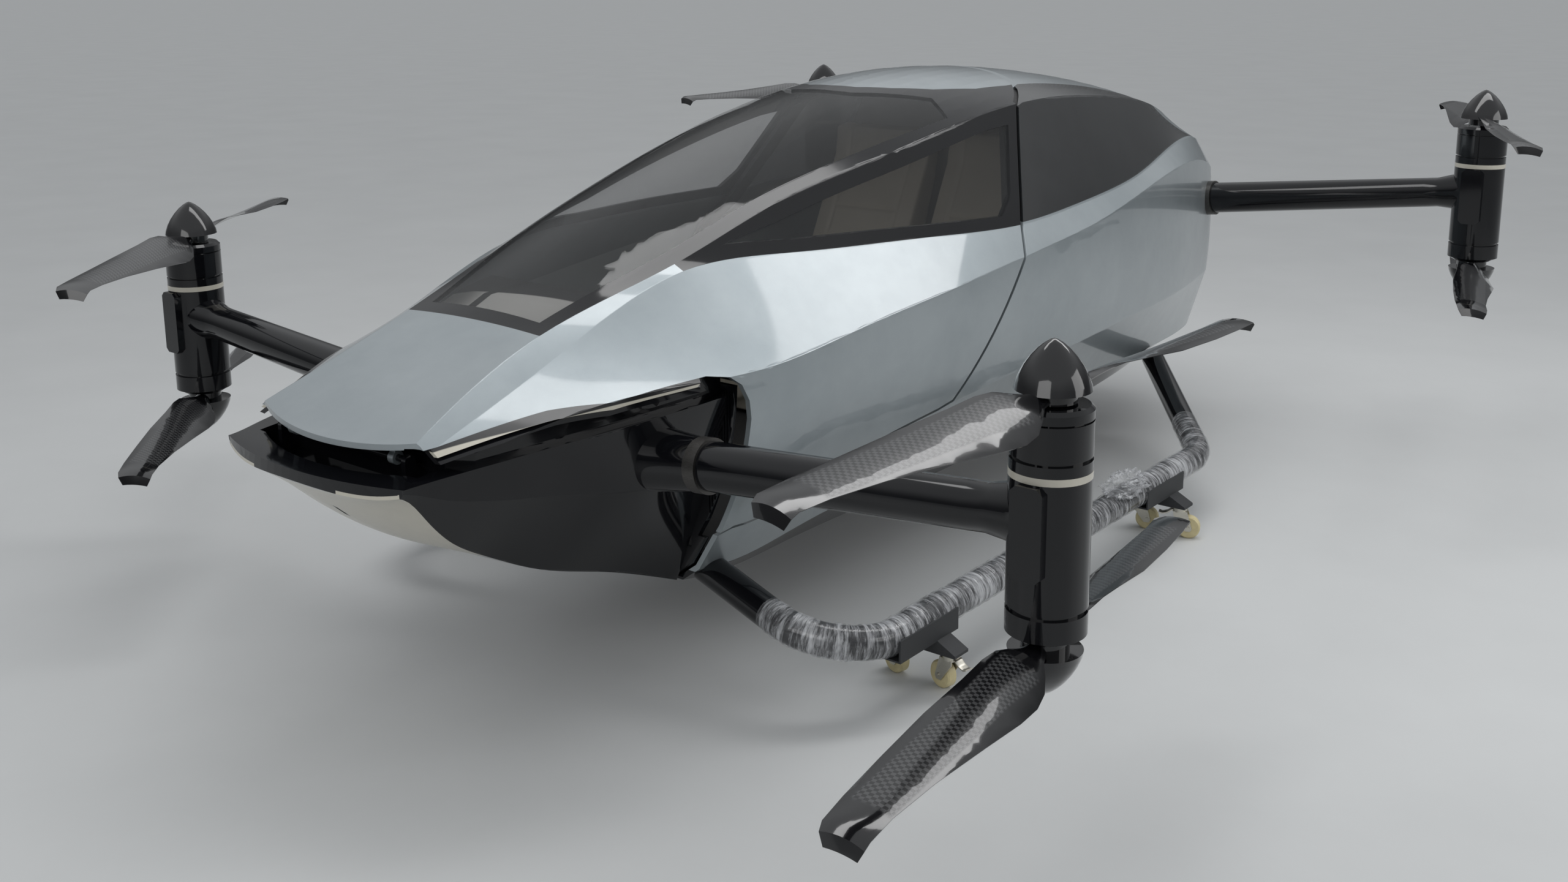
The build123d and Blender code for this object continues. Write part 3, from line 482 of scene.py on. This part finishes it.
bodyShape, noseShape = Form(bodyForm, bodySection), Form(noseForm, noseSection)


def silverPaint():
    f = Finish("silver paint")
    flake = f.noise(2600, 1.0)
    cloud = f.noise(2.4, 5.0, 0.62)
    dust = f.noise(22, 5.0, 0.65)
    colour = f.blend(cloud.step(0.35, 0.65), (0.285, 0.325, 0.345), (0.345, 0.385, 0.405))
    colour = f.blend(flake.step(0.55, 0.75) * 0.35, colour, (0.50, 0.54, 0.56))
    return f.shade(Base_Color=colour, Metallic=0.55, Roughness=0.34 + dust * 0.10,
                   Coat_Weight=0.9, Coat_Roughness=0.05, Normal=f.bump(flake, 0.03, 0.0004))


def glossBlack(name="gloss black"):
    f = Finish(name)
    dust = f.noise(14, 6.0, 0.7)
    fine = f.noise(380, 2.0)
    return f.shade(Base_Color=f.blend(dust * 0.5, (0.003, 0.003, 0.004), (0.009, 0.010, 0.012)),
                   Roughness=0.06 + dust * 0.04, Specular_IOR_Level=0.36, Coat_Weight=0.15, Coat_Roughness=0.03,
                   Normal=f.bump(fine, 0.02, 0.0002))


def satinBlack():
    f = Finish("satin black")
    grain = f.noise(900, 2.0)
    dust = f.noise(30, 4.0)
    return f.shade(Base_Color=f.blend(dust, (0.012, 0.012, 0.013), (0.028, 0.028, 0.029)),
                   Roughness=0.45 + dust * 0.2, Normal=f.bump(grain, 0.25, 0.0004))


def tintGlass(name, cover):
    # cover is how much of the cabin behind it the pane hides
    f = Finish(name)
    dust = f.noise(9, 5.0, 0.6)
    return f.shade(Base_Color=f.blend(dust, (0.006, 0.007, 0.008), (0.022, 0.024, 0.026)),
                   Roughness=0.015 + dust * 0.015, Alpha=cover, Coat_Weight=1.0, Coat_Roughness=0.01)


dashForm = {
    "rearEdge": (-1.50, -1.49), "rearBow": 0.9,     # y where the dark top starts, and how far it bows back
    "ventX": 0.470, "ventSlope": 0.163,             # the vent's distance from the middle, and its drift along y
    "ventHalf": (0.013, 0.015), "slotsPerMetre": 110, "slotShare": 0.45,
}


def dashCloth():
    # pale cloth at the foot of the screen, a slotted vent along its edge, and a dark top further back
    form = dashForm
    f = Finish("dash cloth")
    x, y, _ = f.axes(f.place())
    grain = f.noise(700, 3.0)
    tone = f.noise(8, 3.0)
    pale = f.blend(tone, (0.62, 0.61, 0.58), (0.72, 0.705, 0.675))
    dark = f.blend(grain, (0.014, 0.014, 0.015), (0.040, 0.040, 0.042))
    rear = (y + x * x * form["rearBow"]).step(*form["rearEdge"])
    vent = 1 - (x.abs() - y * form["ventSlope"] - form["ventX"]).abs().step(*form["ventHalf"])
    slots = (y * form["slotsPerMetre"]).frac() > form["slotShare"]
    colour = f.blend(rear, pale, dark)
    colour = f.blend(vent, colour, (0.030, 0.030, 0.031))
    colour = f.blend(vent * slots, colour, (0.002, 0.002, 0.002))
    return f.shade(Base_Color=colour, Roughness=0.72, Normal=f.bump(grain, 0.3, 0.0005))


def creamPanel(name="cream panel", dark=None):
    # dark, if given, works out from x, y and z where the panel is black: a sensor slot, or painted shadow under
    # an edge
    f = Finish(name)
    dust = f.noise(26, 4.0)
    colour = f.blend(dust, (0.50, 0.475, 0.40), (0.60, 0.57, 0.49))
    if dark:
        colour = f.blend(dark(*f.axes(f.place())), colour, (0.004, 0.004, 0.005))
    return f.shade(Base_Color=colour, Roughness=0.25 + dust * 0.12, Coat_Weight=0.4, Coat_Roughness=0.06)


slotForm = {"middleY": 2.215, "halfLength": 0.014, "halfWidth": 0.0075}     # middleY metres ahead of the origin


def sensorSlot(x, y, z):
    # inside a capsule on the centre line: the distance to a short line along y is less than its half width
    reach = ((y + slotForm["middleY"]).abs() - slotForm["halfLength"]).maths("MAXIMUM", 0.0)
    return (x * x + reach * reach) < slotForm["halfWidth"] ** 2


stripForm = {
    "frontRun": (0.1463, 1.1291), "rearRun": (0.0678, 0.9772),  # the side panel's lower edge: slope and z at y 0
    "shadow": (-0.0085, -0.0070),                               # painted shadow: the strip is dark from here up to that edge
}


def stripShadow(x, y, z):
    # painted shadow on the strip's top 8 mm, under the panel's lower edge: two straight runs, the lower of which
    # counts
    front, rear = (y * slope + base for slope, base in (stripForm["frontRun"], stripForm["rearRun"]))
    return (z - front.maths("MINIMUM", rear)).step(*stripForm["shadow"])


twillForm = {
    "threadsPerMetre": 118.0, "slant": 14,
    "root": (0.135, 0.155), "tip": (0.735, 0.75), "edge": (0.036, 0.040),   # the weave fades out over these
}


def carbonTwill():
    # the blade's own sheet: u runs out along the radius and v across the chord, both in metres
    form = twillForm
    f = Finish("lacquered carbon twill")
    u, v, _ = f.axes(f.sheet("weave"))
    a, b = u * form["threadsPerMetre"] + v * form["slant"], v * form["threadsPerMetre"]
    over = ((a.floor() + b.floor()) * 0.5).frac() > 0.25    # true on every second cell, as on a chessboard
    thread = (a.frac() - 0.5).abs() * over + (b.frac() - 0.5).abs() * (1 - over)
    cloth = u.step(*form["root"]) * (1 - u.step(*form["tip"])) * (1 - v.abs().step(*form["edge"]))
    # painted sheen: the cells where one set of tows lies on top are painted lighter, as where light catches
    # them; the weave itself is the carbon's own
    tone = f.blend(over, (0.004, 0.004, 0.005), (0.060, 0.061, 0.063))
    colour = f.blend(cloth, (0.005, 0.005, 0.006), tone)
    return f.shade(Base_Color=colour, Roughness=0.10 + cloth * 0.18, Specular_IOR_Level=0.36, Coat_Weight=0.6,
                   Coat_Roughness=0.03, Normal=f.bump(thread * cloth, 0.15, 0.0003))


def bareMetal(name, low, high, roughness, metallic=1.0):
    f = Finish(name)
    streak = f.noise(120, 4.0, 0.6, stretch=(1, 1, 6))
    return f.shade(Base_Color=f.blend(streak, low, high), Metallic=metallic,
                   Roughness=roughness + streak * 0.15, Normal=f.bump(streak, 0.12, 0.0003))


def beigeLeather():
    f = Finish("beige leather")
    grain = f.noise(420, 3.0)
    tone = f.noise(6, 3.0)
    return f.shade(Base_Color=f.blend(tone, (0.50, 0.45, 0.37), (0.60, 0.55, 0.46)), Roughness=0.5,
                   Normal=f.bump(grain, 0.3, 0.0006))


def paleTrim():
    f = Finish("pale dash cloth")
    grain = f.noise(700, 3.0)
    tone = f.noise(8, 3.0)
    return f.shade(Base_Color=f.blend(tone, (0.36, 0.345, 0.32), (0.44, 0.425, 0.40)), Roughness=0.7,
                   Normal=f.bump(grain, 0.3, 0.0005))


def amberWheel():
    f = Finish("amber urethane")
    grime = f.noise(60, 4.0)
    return f.shade(Base_Color=f.blend(grime, (0.72, 0.63, 0.36), (0.50, 0.43, 0.24)),
                   Roughness=0.35 + grime * 0.2)


def stretchFilm():
    # clear film over black tube: pale creased streaks round the tube with dark gaps between them
    f = Finish("clear stretch film")
    wrap = f.sheet("wrap")      # metres along the tube and round it
    crease = f.noise(1.0, 5.0, 0.62, wrap, (70.0, 9.0, 1.0))
    fine = f.noise(1.0, 4.0, 0.6, wrap, (260.0, 40.0, 1.0))
    patch = f.noise(1.0, 3.0, 0.55, wrap, (8.0, 3.0, 1.0))
    relief = crease * 0.7 + fine * 0.3
    seen = (relief + patch * 0.45).step(0.66, 0.86)
    return f.shade(Base_Color=f.blend(fine, (0.42, 0.43, 0.45), (0.74, 0.75, 0.77)), Roughness=0.13,
                   Coat_Weight=0.8, Coat_Roughness=0.06, Alpha=0.10 + seen * 0.78,
                   Normal=f.bump(relief, 1.0, 0.006))


finishes = {        # one for each material slot of the CAD part
    "silver_paint": silverPaint(), "window_glass": tintGlass("clear glass", 0.26), "gloss_black": glossBlack(),
    "satin_black": satinBlack(), "cream_panel": creamPanel(), "carbon_blade": carbonTwill(),
    "collar_metal": bareMetal("collar metal", (0.06, 0.057, 0.054), (0.15, 0.145, 0.14), 0.35),
    "seat_leather": beigeLeather(),
    "battery_case": bareMetal("battery case", (0.35, 0.35, 0.36), (0.45, 0.45, 0.46), 0.4),
    "skid_tube": glossBlack("skid tube black"),
    "dolly_steel": bareMetal("dolly steel", (0.02, 0.021, 0.023), (0.05, 0.052, 0.055), 0.5, 0.3),
    "zinc_fork": bareMetal("zinc", (0.45, 0.43, 0.38), (0.68, 0.66, 0.58), 0.28),
    "yellow_wheel": amberWheel(),
}
finishOf = {        # nodes that look different from the rest of their slot
    "quarter_windows": tintGlass("dark glass", 0.80), "dashboard": dashCloth(), "bulkhead": paleTrim(),
    "nose_panel": creamPanel("nose panel", sensorSlot),
    "light_strips": creamPanel("light strip", stripShadow),
}
for name in slotOf:
    shell = nodes[name]
    shell.data.materials.clear()
    shell.data.materials.append(finishFor(name))
print("finishes on the CAD nodes")

# panels, windows and nose move on to the smooth body
for name in ("side_panel_left", "side_panel_right", "hood", "roof_panel_front", "canopy_frame", "windscreen",
             "side_windows", "quarter_windows", "rear_fuselage", "belly", "light_strips", "door_frame"):
    smoothPanel(name, bodyShape)
for name in ("lower_nose", "nose_panel"):
    smoothPanel(name, noseShape)
print("body smoothed")

# arms, cabin shells, skids, dollies and casters keep their shape
sharpAngle = {"shell": 28, "caster": 34, "rotor": 35, "pedal": 40}      # degrees
for name in nodes:
    if name.startswith("arm_") or name in ("pod_bands", "arch_wall", "dashboard", "cabin_floor", "bulkhead",
                                           "skid_left", "skid_right", "dollies_front", "dollies_rear"):
        piece = roundedCopy(name, sharpAngle["shell"])
        if name.startswith("arm_") or name == "pod_bands":
            turnedShading(piece.data)
    if name.startswith("caster_"):
        roundedCopy(name, sharpAngle["caster"])
print("arms, cabin shells, skids and dollies smoothed")

rotorForm = {
    "restAngle": {      # degrees, as the blades stand in the frame
        "front_left_upper": 266.8, "front_left_lower": 275.9, "front_right_upper": 307.5,
        "front_right_lower": 315.4, "rear_left_upper": 292.0, "rear_left_lower": 284.0,
        "rear_right_upper": 260.0, "rear_right_lower": 250.0},
    "facet": 0.022, "rounds": 8, "chordMiddle": 0.011,
}


def carbonRotor(name):
    # the sheet's u is the distance from the axle along the blade's rest line, v the distance across it
    form = rotorForm
    mesh = roundedCopy(name, sharpAngle["rotor"], form["facet"]).data
    evenShading(mesh, form["rounds"])
    turnedShading(mesh)
    key = name.replace("rotor_", "")
    end, side = key.split("_")[:2]
    x, y = podForm["places"][end]
    turn = math.radians(form["restAngle"][key])
    at = threes(mesh.vertices, "co") - np.array([x if side == "left" else -x, y, 0.0])
    along = at[:, 0] * math.cos(turn) + at[:, 1] * math.sin(turn)
    across = (at[:, 1] * math.cos(turn) - at[:, 0] * math.sin(turn)) * np.sign(along)
    addSheet(mesh, "weave", np.stack([np.abs(along), across - form["chordMiddle"]], 1))


for name in nodes:
    if name.startswith("rotor_"):
        carbonRotor(name)
print("rotors dressed")


def gridMesh(name, points, sheetName=None, sheet=None):
    # quads between the rows and columns of a grid of points, closed round its columns, with an optional sheet
    # of the same shape
    rows, columns = points.shape[:2]
    index = np.arange(rows * columns).reshape(rows, columns)
    here, down = index[:-1], index[1:]
    quads = np.stack([here, np.roll(here, -1, 1), np.roll(down, -1, 1), down], -1)
    mesh = bpy.data.meshes.new(name)
    mesh.from_pydata(points.reshape(-1, 3).tolist(), [], quads.reshape(-1, 4).tolist())
    shadeSmooth(mesh)
    if sheetName:
        addSheet(mesh, sheetName, sheet.reshape(-1, 2))
    mesh.update()
    return mesh


def addPiece(name, mesh, body, slot, finish=None):
    piece = bpy.data.objects.new(name, mesh)
    bpy.context.scene.collection.objects.link(piece)
    mesh.materials.append(finish or finishes[slot])
    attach(piece, body)


skidForm = {
    "route": ((0.345, -1.360, 0.297), (0.905, -1.470, 0.188), (0.905, 0.630, 0.188), (0.430, 1.260, 0.330)),
    "bendRadius": 0.200, "tubeRadius": 0.043, "step": 0.006, "round": 56,
    "bare": (0.30, 0.55),       # metres of tube without film at the front and at the rear
    "lift": 0.0012,             # the film's least height over the tube
    "crease": 0.0034, "creaseMiddle": 0.35,
    "cells": ((2, 9, 0.6), (6, 5, 0.5)),    # creases: steps along and parts round to a cell, and weight
    "lap": 0.11, "lapRise": 0.0008,         # the helix's pitch and the height of its edge
    "endTaper": 0.03, "endShare": 0.15,     # the film thins out over this length, down to this share
}


def filletRoute(route, radius, step):
    # straight runs joined by arcs that touch both runs, cut into equal steps along the whole length
    arcPoints = 40
    route = np.array(route)
    pieces, last = [], route[0]
    for before, corner, after in zip(route, route[1:], route[2:]):
        come, go = unit(np.stack([corner - before, after - corner]))
        turn = math.acos(np.clip(come @ go, -1, 1))
        cut = radius * math.tan(turn / 2)
        start, bisector = corner - come * cut, (go - come) / np.linalg.norm(go - come)
        centre = corner + bisector * radius / math.cos(turn / 2)
        spoke = (start - centre) / radius
        angle = np.linspace(0, turn, arcPoints)[:, None]
        bend = centre + radius * (spoke * np.cos(angle) + come * np.sin(angle))
        pieces += [np.stack([last, start]), bend]
        last = bend[-1]
    pieces.append(np.stack([last, route[-1]]))
    line = np.concatenate(pieces)
    length = np.concatenate([[0], np.cumsum(np.linalg.norm(np.diff(line, axis=0), axis=1))])
    fresh = np.r_[True, np.diff(length) > 1e-7]     # leaves out points that double the one before
    line, length = line[fresh], length[fresh]
    places = np.arange(0, length[-1], step)
    return np.stack([np.interp(places, length, line[:, k]) for k in range(3)], 1), places


def softNoise(rng, rows, columns, cells):
    # random values on a coarse grid, blended up to rows x columns by 3t^2 - 2t^3; closed round the columns
    coarse = rng.standard_normal((cells[0] + 2, cells[1]))
    r, c = np.linspace(0, cells[0], rows), np.arange(columns) * cells[1] / columns
    i, j = np.floor(r).astype(int), np.floor(c).astype(int)
    a, b = (r - i)[:, None], (c - j)[None]
    a, b = a * a * (3 - 2 * a), b * b * (3 - 2 * b)
    k = (j + 1) % cells[1]
    return ((coarse[i][:, j] * (1 - b) + coarse[i][:, k] * b) * (1 - a)
            + (coarse[i + 1][:, j] * (1 - b) + coarse[i + 1][:, k] * b) * a)


def wrapFilm(name, side, seed):
    # tube round the skid's route whose radius rises in creases and in the laps of a helix
    form = skidForm
    route = [(side * x, y, z) for x, y, z in form["route"]]
    line, places = filletRoute(route, form["bendRadius"], form["step"])
    front, rear = form["bare"]
    wound = (places > front) & (places < places[-1] - rear)
    line, places = line[wound], places[wound]
    along = unit(np.gradient(line, axis=0))
    across = unit(np.cross(along, (0, 0, 1.0)))
    up = np.cross(across, along)
    rng = np.random.default_rng(seed)
    count, rounds = len(line), form["round"]
    angle = np.arange(rounds) * 2 * math.pi / rounds - math.pi / 2      # from the underside
    crease = sum(softNoise(rng, count, rounds, (count // steps, parts)) * weight
                 for steps, parts, weight in form["cells"])
    lap = np.mod(places[:, None] / form["lap"] + (angle[None] + 0.5 * math.pi) / (2 * math.pi), 1)
    rise = form["crease"] * np.clip(crease * 0.5 + form["creaseMiddle"], 0, 1)
    rise = form["lift"] + rise + form["lapRise"] * lap
    toEnd = np.minimum(places - places[0], places[-1] - places)
    rise *= np.clip(toEnd / form["endTaper"], form["endShare"], 1)[:, None]
    radius = form["tubeRadius"] + rise
    points = (line[:, None] + across[:, None] * (np.cos(angle) * radius)[..., None]
              + up[:, None] * (np.sin(angle) * radius)[..., None])
    v = np.arange(rounds) * 2 * math.pi * form["tubeRadius"] / rounds
    sheet = np.stack(np.broadcast_arrays(places[:, None], v[None]), -1)
    addPiece(name, gridMesh(name, points, "wrap", sheet), "root", "skid_tube", finishFilm)


finishFilm = stretchFilm()
wrapFilm("film_left", 1, 11)
wrapFilm("film_right", -1, 12)


clumpForm = {
    "rows": 90, "round": 150, "size": (0.052, 0.105, 0.038), "place": (0.918, 0.02, 0.246),
    "cells": ((12, 22, 0.16), (30, 60, 0.10)),  # crumples: parts down and round, and share of the radius
    "calm": 0.7,                                # they die away towards the poles by this power of the sine
    "reach": (0.6, 1.5), "sheetRadius": 0.12,
}


def filmClump(name, seed):
    # ball of loose film: its radius is an ellipsoid's, pushed in and out by two sizes of crumple
    form = clumpForm
    rng = np.random.default_rng(seed)
    rows, rounds = form["rows"], form["round"]
    crumple = sum(softNoise(rng, rows, rounds, (down, parts)) * share for down, parts, share in form["cells"])
    polar, turn = np.broadcast_arrays(np.linspace(0, math.pi, rows)[:, None],
                                      (np.arange(rounds) * 2 * math.pi / rounds)[None])
    reach = np.clip(1 + crumple * np.sin(polar) ** form["calm"], *form["reach"])
    ball = np.stack([np.sin(polar) * np.cos(turn), np.sin(polar) * np.sin(turn), np.cos(polar)], -1)
    points = ball * reach[..., None] * form["size"] + form["place"]
    mesh = gridMesh(name, points, "wrap", np.stack([polar, turn], -1) * form["sheetRadius"])
    closeMesh(mesh)
    addPiece(name, mesh, "root", "skid_tube", finishFilm)


filmClump("film_clump", 21)
print("film wound")

pedalForm = {       # millimetres, with the casters' places in metres and their trails in degrees
    "strip": ((-8, 97), (-26, 95), (-40, 84), (-56, 80), (-66, 84)),    # x against the trail and z of its middle
    "outline": ((-1, -2.2), (-1, 0), (-0.55, 0.9), (0, 0.3), (0.55, 0.9), (1, 0), (1, -2.2), (0.9, -2.2),
                (0.86, -1.6), (-0.86, -1.6), (-0.9, -2.2)),             # in half widths and thicknesses
    "halfWidth": 13.0, "thick": 1.6, "rows": 41, "rounds": 6,
    "casterX": 0.978, "y": {"front": -1.085, "rear": 0.315}, "trail": {"front": 165.0, "rear": 20.0},
}


def brakePedal(name, x, y, trail, body):
    # a strip with turned-down edges whose rows follow a profile, rounded off by means of three neighbours
    form = pedalForm
    strip = np.array(form["strip"], float)
    t = np.linspace(0, len(strip) - 1, form["rows"])
    spine = np.stack([np.interp(t, np.arange(len(strip)), strip[:, k]) for k in (0, 1)], 1)
    for _ in range(form["rounds"]):
        spine[1:-1] = (spine[:-2] + 2 * spine[1:-1] + spine[2:]) / 4
    tangent = unit(np.gradient(spine, axis=0))
    w, h = np.array(form["outline"]).T * [[form["halfWidth"]], [-form["thick"]]]
    ahead = (spine[:, :1] - tangent[:, 1:] * h) / 1000
    rise = (spine[:, 1:] + tangent[:, :1] * h) / 1000
    aside = np.broadcast_to(w, rise.shape) / 1000
    turn = math.radians(trail)
    c, s = math.cos(turn), math.sin(turn)
    mesh = gridMesh(name, np.stack([x + ahead * c - aside * s, y + ahead * s + aside * c, rise], -1))
    closeMesh(mesh)
    shadeSmooth(mesh, sharpAngle["pedal"])
    addPiece(name, mesh, body, "zinc_fork")


for end in ("front", "rear"):
    for place, side in (("left", 1), ("right", -1)):
        angle = pedalForm["trail"][end] if side > 0 else 180 - pedalForm["trail"][end]
        brakePedal(f"brake_pedal_{end}_{place}", side * pedalForm["casterX"], pedalForm["y"][end], angle,
                   f"caster_fork_{end}_{place}_outer")
print("brake pedals fitted")

seatForm = {
    "voxel": 0.012, "pressure": 4.0, "frames": 20, "tuck": 0.006, "cap": 0.009, "fill": 0.6,
    "centre": 0.245, "bolster": 0.135,      # a seat's middle, and its long seams' distance from that middle
    "seamDepth": 0.006, "seamWidth": 0.007,
    "cross": {"seat_cushions": (-0.24, -0.12, 0.0), "seat_backs": (0.80, 0.90, 1.00)},  # y, or z on the backs
}


def applyModifiers(piece):
    piece.data = evaluatedMesh(piece)
    piece.modifiers.clear()


def evaluatedMesh(piece):
    graph = bpy.context.evaluated_depsgraph_get()
    return bpy.data.meshes.new_from_object(piece.evaluated_get(graph))


def paddedSeat(node, axis):
    # remeshed copy drawn in by the tuck, blown up as cloth with each point's way capped, then sewn channels:
    # the skin sinks by the depth times a bell curve of the distance to the nearest seam
    form = seatForm
    piece = bpy.data.objects.new(node + "_pad", mergedCopy(node))
    bpy.context.scene.collection.objects.link(piece)
    remesh = piece.modifiers.new("remesh", "REMESH")
    remesh.mode, remesh.voxel_size = "VOXEL", form["voxel"]
    applyModifiers(piece)
    points = piece.data.vertices
    start = threes(points, "co") - threes(points, "normal") * form["tuck"]
    points.foreach_set("co", start.ravel())
    cloth = piece.modifiers.new("cloth", "CLOTH")
    cloth.settings.use_pressure = True
    cloth.settings.uniform_pressure_force = form["pressure"]
    cloth.settings.effector_weights.gravity = 0
    cloth.point_cache.frame_end = form["frames"]
    for step in range(1, form["frames"] + 1):
        bpy.context.scene.frame_set(step)
    blown = evaluatedMesh(piece)
    piece.modifiers.clear()
    bpy.context.scene.frame_set(1)
    way = threes(blown.vertices, "co") - start
    long = np.linalg.norm(way, axis=1)[:, None]
    way *= np.minimum(1, form["cap"] / np.maximum(long, tiny))
    points.foreach_set("co", (start + way).ravel())
    divide = piece.modifiers.new("divide", "SUBSURF")
    divide.levels = divide.render_levels = 1
    applyModifiers(piece)
    mesh = piece.data
    at, out = threes(mesh.vertices, "co"), threes(mesh.vertices, "normal")
    across = np.abs(np.abs(at[:, 0]) - form["centre"])
    toBolster = np.abs(across - form["bolster"])
    toCross = np.min([np.abs(at[:, axis] - place) for place in form["cross"][node]], axis=0)
    toCross[across > form["bolster"]] = math.inf    # the cross seams end at the long ones
    seam = np.minimum(toBolster, toCross)
    sink = form["seamDepth"] * np.exp(-(seam / form["seamWidth"]) ** 2)
    mesh.vertices.foreach_set("co", (at - out * sink[:, None]).ravel())
    shadeSmooth(mesh)
    mesh.materials.clear()
    mesh.materials.append(finishes["seat_leather"])
    mesh.update()
    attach(piece, bodyOf[node])
    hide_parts(node)


paddedSeat("seat_cushions", 1)
paddedSeat("seat_backs", 2)
print("seats padded")

studio = {
    "floorSize": 600.0, "overhead": (0.86, 0.88, 0.90), "horizon": (0.16, 0.165, 0.17),
    "ramp": (0.08, 0.62),       # sine of the height at which the world starts and ends turning pale
    "worldStrength": 0.72,
}
half = studio["floorSize"] / 2
floorMesh = bpy.data.meshes.new("studio floor")
floorMesh.from_pydata([(-half, -half, 0), (half, -half, 0), (half, half, 0), (-half, half, 0)], [],
                      [(0, 1, 2, 3)])
floor = bpy.data.objects.new("studio floor", floorMesh)
bpy.context.scene.collection.objects.link(floor)
f = Finish("pale floor")
scuff = f.blend(f.noise(1.4, 5.0, 0.6), (0.56, 0.57, 0.57), (0.64, 0.65, 0.65))
floorMesh.materials.append(f.shade(Base_Color=scuff, Roughness=0.5))

world = bpy.data.worlds.new("studio")
bpy.context.scene.world = world
world.use_nodes = True
sky = Graph(world.node_tree)    # dark at eye level and pale overhead, by the height of the direction
height = sky.axes(sky.node("ShaderNodeTexCoord"))[2]
shade = sky.node("ShaderNodeValToRGB", slots={0: height})
ramp = shade.socket.node.color_ramp
ramp.interpolation = "EASE"
for element, place, colour in zip(ramp.elements, studio["ramp"], (studio["horizon"], studio["overhead"])):
    element.position, element.color = place, (*colour, 1)
background = world.node_tree.nodes["Background"]
join(world.node_tree, background.inputs[0], shade)
join(world.node_tree, background.inputs[1], studio["worldStrength"])


def softbox(name, place, target, size, power):
    lamp = bpy.data.lights.new(name, "AREA")
    lamp.shape, lamp.size, lamp.size_y, lamp.energy = "RECTANGLE", *size, power
    holder = bpy.data.objects.new(name, lamp)
    holder.location = place
    holder.rotation_euler = (Vector(target) - Vector(place)).to_track_quat("-Z", "Y").to_euler()
    bpy.context.scene.collection.objects.link(holder)


softbox("overhead strip", place=(0.5, 0.5, 4.2), target=(0, 0, 0.8), size=(1.0, 6.0), power=75)
softbox("window side", place=(6.5, 1.0, 3.2), target=(0, 0, 0.8), size=(4.0, 2.4), power=75)
softbox("front fill", place=(1.5, -7.0, 3.4), target=(0, -1, 0.8), size=(4.0, 2.4), power=70)

shot = {    # metres, degrees and millimetres, worked out from the photo's own perspective
    "place": (2.927, -4.225, 1.826), "yaw": 38.48, "pitch": 11.84, "roll": -0.373,
    "sensor": 36.0, "lens": 34.993, "shiftY": -0.0938,
}
camera = bpy.data.objects.new("camera", bpy.data.cameras.new("camera"))
bpy.context.scene.collection.objects.link(camera)
camera.data.sensor_width, camera.data.lens = shot["sensor"], shot["lens"]
camera.data.shift_y = shot["shiftY"]
camera.matrix_world = (Matrix.Translation(shot["place"]) @ Matrix.Rotation(math.radians(shot["yaw"]), 4, "Z")
                       @ Matrix.Rotation(math.radians(90 - shot["pitch"]), 4, "X")
                       @ Matrix.Rotation(math.radians(shot["roll"]), 4, "Z"))
bpy.context.scene.camera = camera
bpy.context.scene.view_settings.view_transform = "Standard"
print("camera and light set")
